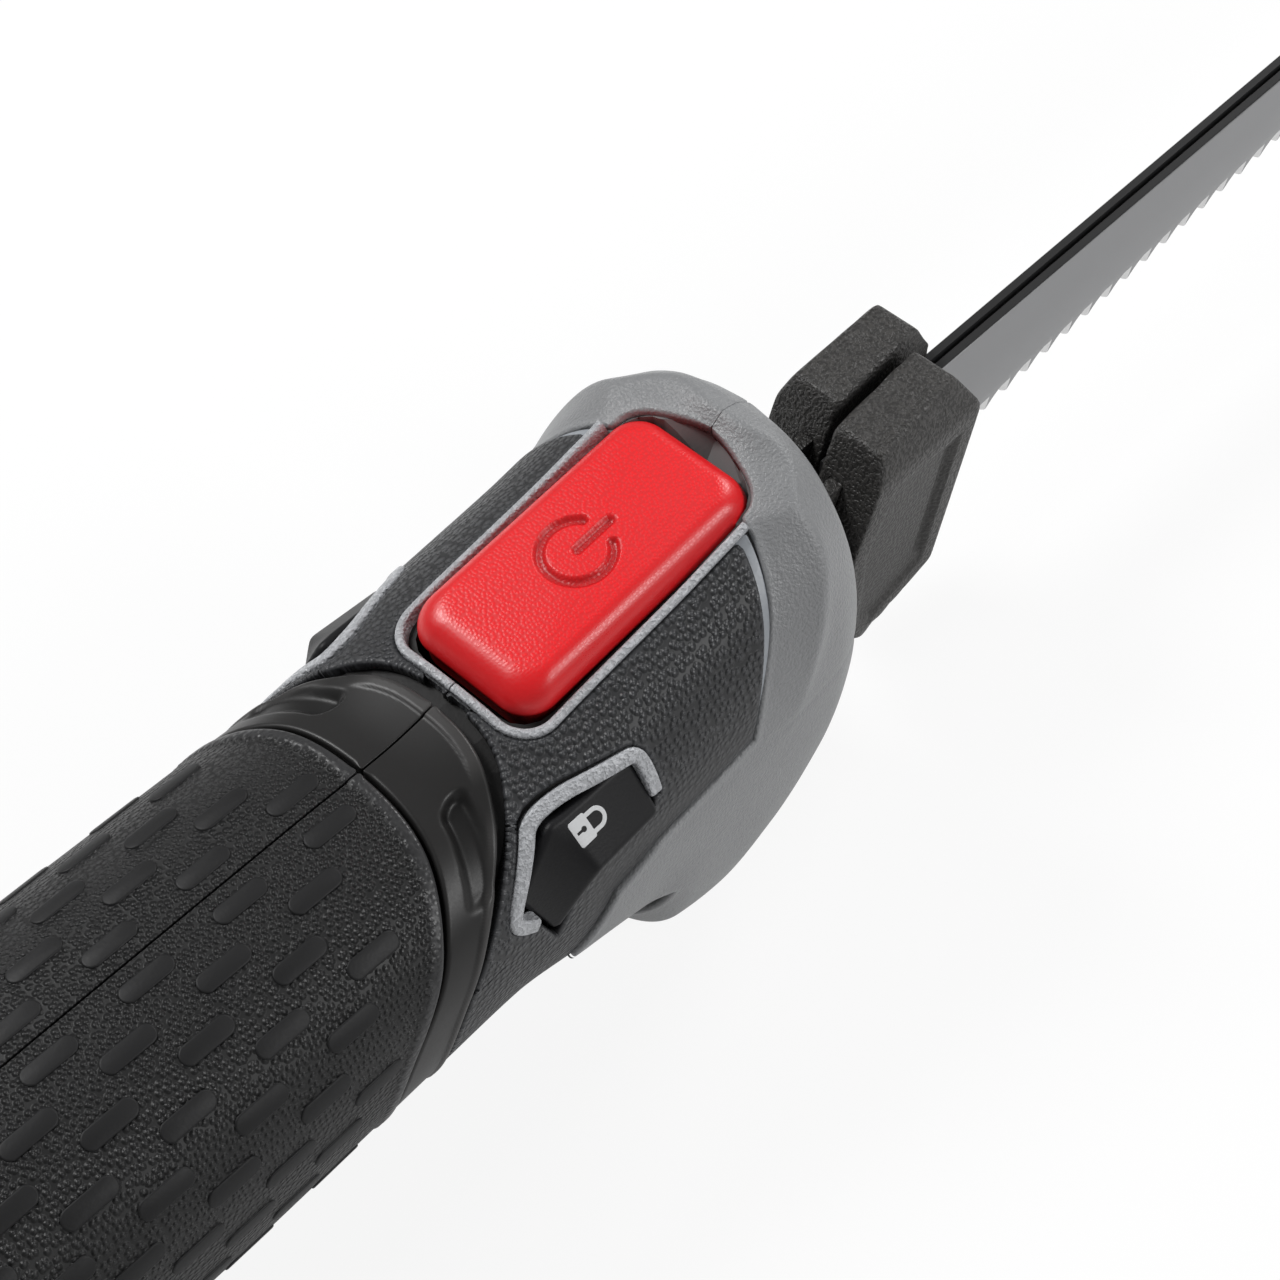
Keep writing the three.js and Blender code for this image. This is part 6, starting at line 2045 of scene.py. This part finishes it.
    def build(self) -> None:
        """Make and dress blades, hubs and posts."""
        for side in Side:
            word, shift = side.word, side.value * self.offset
            hub = self.hub().moved(shift).half("blade_hub", side)
            carved(hub, self.socket().moved(shift).mirrored(side))
            settle(hub, f"blade_{word}", HUB, (f"hub_{word}",))
            blade = self.blade().moved(shift).half("blade_body", side, 24.0)
            if side is Side.RIGHT:
                carved(blade, self.slot())
            settle(blade, f"blade_{word}", STEEL, (f"blade_{word}",))
            post = soft_edged(f"drive_post_{word}", f"drive_rod_{word}", radius=0.3, segments=2)
            settle(post, f"rod_{word}", HUB, (f"drive_rod_{word}",))
        rivet = soft_edged("tip_rivet", "blade_rivet", radius=0.25, segments=3)
        settle(rivet, "blade_left", MACHINED, ("blade_rivet",))


@dataclass
class Battery:
    """The slide-in pack: its case, the foot behind it and a latch on each side."""

    front_x: float = -196.3
    rear_x: float = -222.0
    half: float = 27.4
    top: float = 21.0
    edge: float = 4.0
    flare: float = 8.0
    trim: float = 2.5
    roundness: Pair = (2.3, 2.8)
    round_over: float = 3.2
    round_gap: float = 0.2
    front_inset: float = 0.96
    rear_insets: Triple = (0.9, 0.6, 0.3)
    latch_x: float = -209.0
    latch_z: float = -8.0
    latch_half_length: float = 6.3
    latch_half_height: float = 8.3
    latch_roundness: float = 7.0
    latch_inner: float = 18.8
    latch_outer: float = 40.0

    def foot(self) -> bpy.types.Object:
        """The foot: sections that flare from the grip's end and round over at the rear.

        Returns:
            The piece.
        """
        rear, edge, roundness = self.rear_x, self.edge, self.roundness
        shape = Loft(
            (
                (self.front_x, *HANDLE.stations[-1][1:]),
                (self.front_x - self.flare, self.top, REST_PLANE, self.half, *roundness),
                (rear + edge, self.top, REST_PLANE - self.trim, self.half, *roundness),
                (rear, self.top - edge, REST_PLANE + edge, self.half - edge, *roundness),
            )
        )
        rounding = rear + self.round_over * (1 - np.sin(np.linspace(0.0, QUARTER, num=9)))
        straight = np.linspace(self.front_x, rear + self.round_over + self.round_gap, num=34)
        x = np.append(straight, rounding)
        rings = shape.point(x[:, None], full_turn(steps=128)[None, :])
        scales = [(1.0, inset, inset) for inset in self.rear_insets]
        inner = rings[-1:] * np.array(scales)[:, None, :]
        front = rings[:1] * [1.0, self.front_inset, self.front_inset]
        piece = ring_stack(np.concatenate([front, rings, inner])).piece("battery_end", 40.0)
        return carved(piece, *(self.latch_room().mirrored(side) for side in Side))

    def latch_room(self) -> MeshData:
        """The pocket of the left latch: a rounded rectangle carried across.

        Returns:
            A closed bar.
        """
        angle = full_turn(steps=48)
        long, tall = (
            np.sign(wave) * np.abs(wave) ** (2 / self.latch_roundness)
            for wave in (np.cos(angle), np.sin(angle))
        )
        x = self.latch_x + self.latch_half_length * long
        z = self.latch_z + self.latch_half_height * tall
        ends = (self.latch_inner, self.latch_outer)
        rings = np.stack([np.column_stack([x, np.full(len(x), y), z]) for y in ends])
        return ring_stack(rings[:, ::-1])

    def build(self) -> None:
        """Make and dress the pack."""
        settle(self.foot(), "battery", HUB, ("battery_foot",))
        case = soft_edged("pack_case", "battery_case", radius=0.5, segments=2)
        settle(case, "battery", BLACK, ("battery_case",))
        for side in Side:
            node = f"battery_latch_{side.word}"
            latch = soft_edged(f"latch_key_{side.word}", node, radius=0.7, segments=3)
            settle(latch, f"latch_{side.word}", GREY, (node,))


@dataclass
class InnerWorks:
    """Nodes that keep their own shape and take a finish."""

    finishes: tuple[tuple[Finish, str], ...] = (
        (BLACK, "terminal_block switch_body lock_bar"),
        (BRASS, "contact_1 contact_2 contact_3 shaft_bush"),
        (MACHINED, "trigger_pin trigger_spring motor_can motor_shaft motor_armature worm wheel_axle"),
        (PLUNGER, "switch_plunger"),
        (NYLON, "worm_wheel eccentric_right eccentric_left"),
    )

    def build(self) -> None:
        """Dress the nodes and soften the nose plate."""
        for finish, nodes in self.finishes:
            for node in nodes.split():
                dress(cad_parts[node], finish)
                log.info("%s: dressed", node)
        plate = soft_edged("nose_cover", "nose_plate", radius=0.4, segments=2)
        settle(plate, "handle", BLACK, ("nose_plate",))


@dataclass(frozen=True)
class Lamp:
    """A square soft lamp: place and side length in metres, power in watts."""

    name: str
    place: Triple
    size: float
    power: float

    def stand(self, aim: Triple) -> None:
        """Put the lamp in the scene.

        Args:
            aim: The place it is pointed at, in metres.
        """
        data = bpy.data.lights.new(self.name, "AREA")
        data.size, data.energy = self.size, self.power
        made = linked(self.name, data)
        made.location = self.place
        made.rotation_euler = (Vector(aim) - Vector(self.place)).to_track_quat("-Z", "Y").to_euler()


@dataclass
class Studio:
    """Floor, soft lamps, white surroundings and the camera."""

    eye: Triple = (-185.30, -148.56, 331.02)
    gaze: Triple = (0.44014, 0.41043, -0.79864)
    upward: Triple = (0.58413, 0.54467, 0.60183)
    lens: float = 70.3125
    sensor: float = 36.0
    ambient: float = 0.2
    mirrored_share: float = 0.15
    mirrored_floor: float = 0.3
    floor_reach: float = 3.0
    floor_z: float = -0.0005
    floor_tone: float = 0.86
    floor_glow: float = 0.88
    aim: Triple = (-0.06, 0.0, 0.06)
    lamps: tuple[Lamp, ...] = (
        Lamp("key", (-0.3, 0.62, 0.8), 0.35, 7.6),
        Lamp("side", (0.3, -0.75, 0.6), 0.35, 4.2),
        Lamp("front", (0.8, 0.1, 0.7), 0.3, 3.9),
    )

    def floor(self) -> None:
        """A pale floor that keeps the shadow and shines a little where the camera looks."""
        mesh = bpy.data.meshes.new("floor")
        turns = ((-1, -1), (1, -1), (1, 1), (-1, 1))
        corners = [(a * self.floor_reach, b * self.floor_reach, self.floor_z) for a, b in turns]
        mesh.from_pydata(corners, [], [(0, 1, 2, 3)])
        material = bpy.data.materials.new("floor_white")
        mesh.materials.append(material)
        paint = Paint(material)
        seen = paint.seen_by("Camera").at_least(paint.seen_by("Glossy") * self.mirrored_floor)
        seen = seen.at_least(paint.seen_by("Transmission"))
        plain = paint.wire("ShaderNodeBsdfDiffuse", None, {"Color": (*(self.floor_tone,) * 3, 1.0)})
        glow = paint.wire("ShaderNodeEmission", None, {"Color": (1.0,) * 4, "Strength": 1.0})
        mix = {0: seen * self.floor_glow, 1: plain, 2: glow}
        mixed = paint.wire("ShaderNodeMixShader", None, mix)
        paint.node("ShaderNodeOutputMaterial", None, {"Surface": mixed})
        linked("floor", mesh)

    def surroundings(self) -> None:
        """White where the camera or a reflection looks, and soft light elsewhere."""
        world = bpy.data.worlds.new("studio")
        bpy.context.scene.world = world
        paint = Paint(world)
        seen = paint.seen_by("Camera").at_least(paint.seen_by("Transmission"))
        seen = seen.at_least(paint.seen_by("Glossy") * self.mirrored_share)
        soft, white = (
            paint.wire("ShaderNodeBackground", None, {"Color": (1.0,) * 4, "Strength": strength})
            for strength in (self.ambient, 1.0)
        )
        mixed = paint.wire("ShaderNodeMixShader", None, {0: seen, 1: soft, 2: white})
        paint.node("ShaderNodeOutputWorld", None, {"Surface": mixed})

    def camera(self) -> None:
        """The camera at the photographed angle."""
        data = bpy.data.cameras.new("camera")
        data.sensor_width, data.sensor_fit = self.sensor, "HORIZONTAL"
        data.lens, data.clip_start = self.lens, 0.01
        made = linked("camera", data)
        gaze = Vector(self.gaze).normalized()
        right = gaze.cross(Vector(self.upward).normalized()).normalized()
        turn = Matrix((right, right.cross(gaze), -gaze)).transposed().to_4x4()
        made.matrix_world = Matrix.Translation(Vector(self.eye) * MM) @ turn
        bpy.context.scene.camera = made

    def build(self) -> None:
        """Set the stage."""
        self.floor()
        self.surroundings()
        for lamp in self.lamps:
            lamp.stand(self.aim)
        self.camera()
        bpy.context.scene.view_settings.view_transform = "Standard"


ASSEMBLIES = (Housing, Covers, Trigger, TriggerLock, BladeSet, Battery, InnerWorks, Studio)


def main() -> None:
    """Build the knife piece by piece, then the studio."""
    logging.basicConfig(level=logging.INFO, format="%(name)s: %(message)s")
    for assembly in ASSEMBLIES:
        log.info("building %s", assembly.__name__)
        assembly().build()


if __name__ == "__main__":
    main()
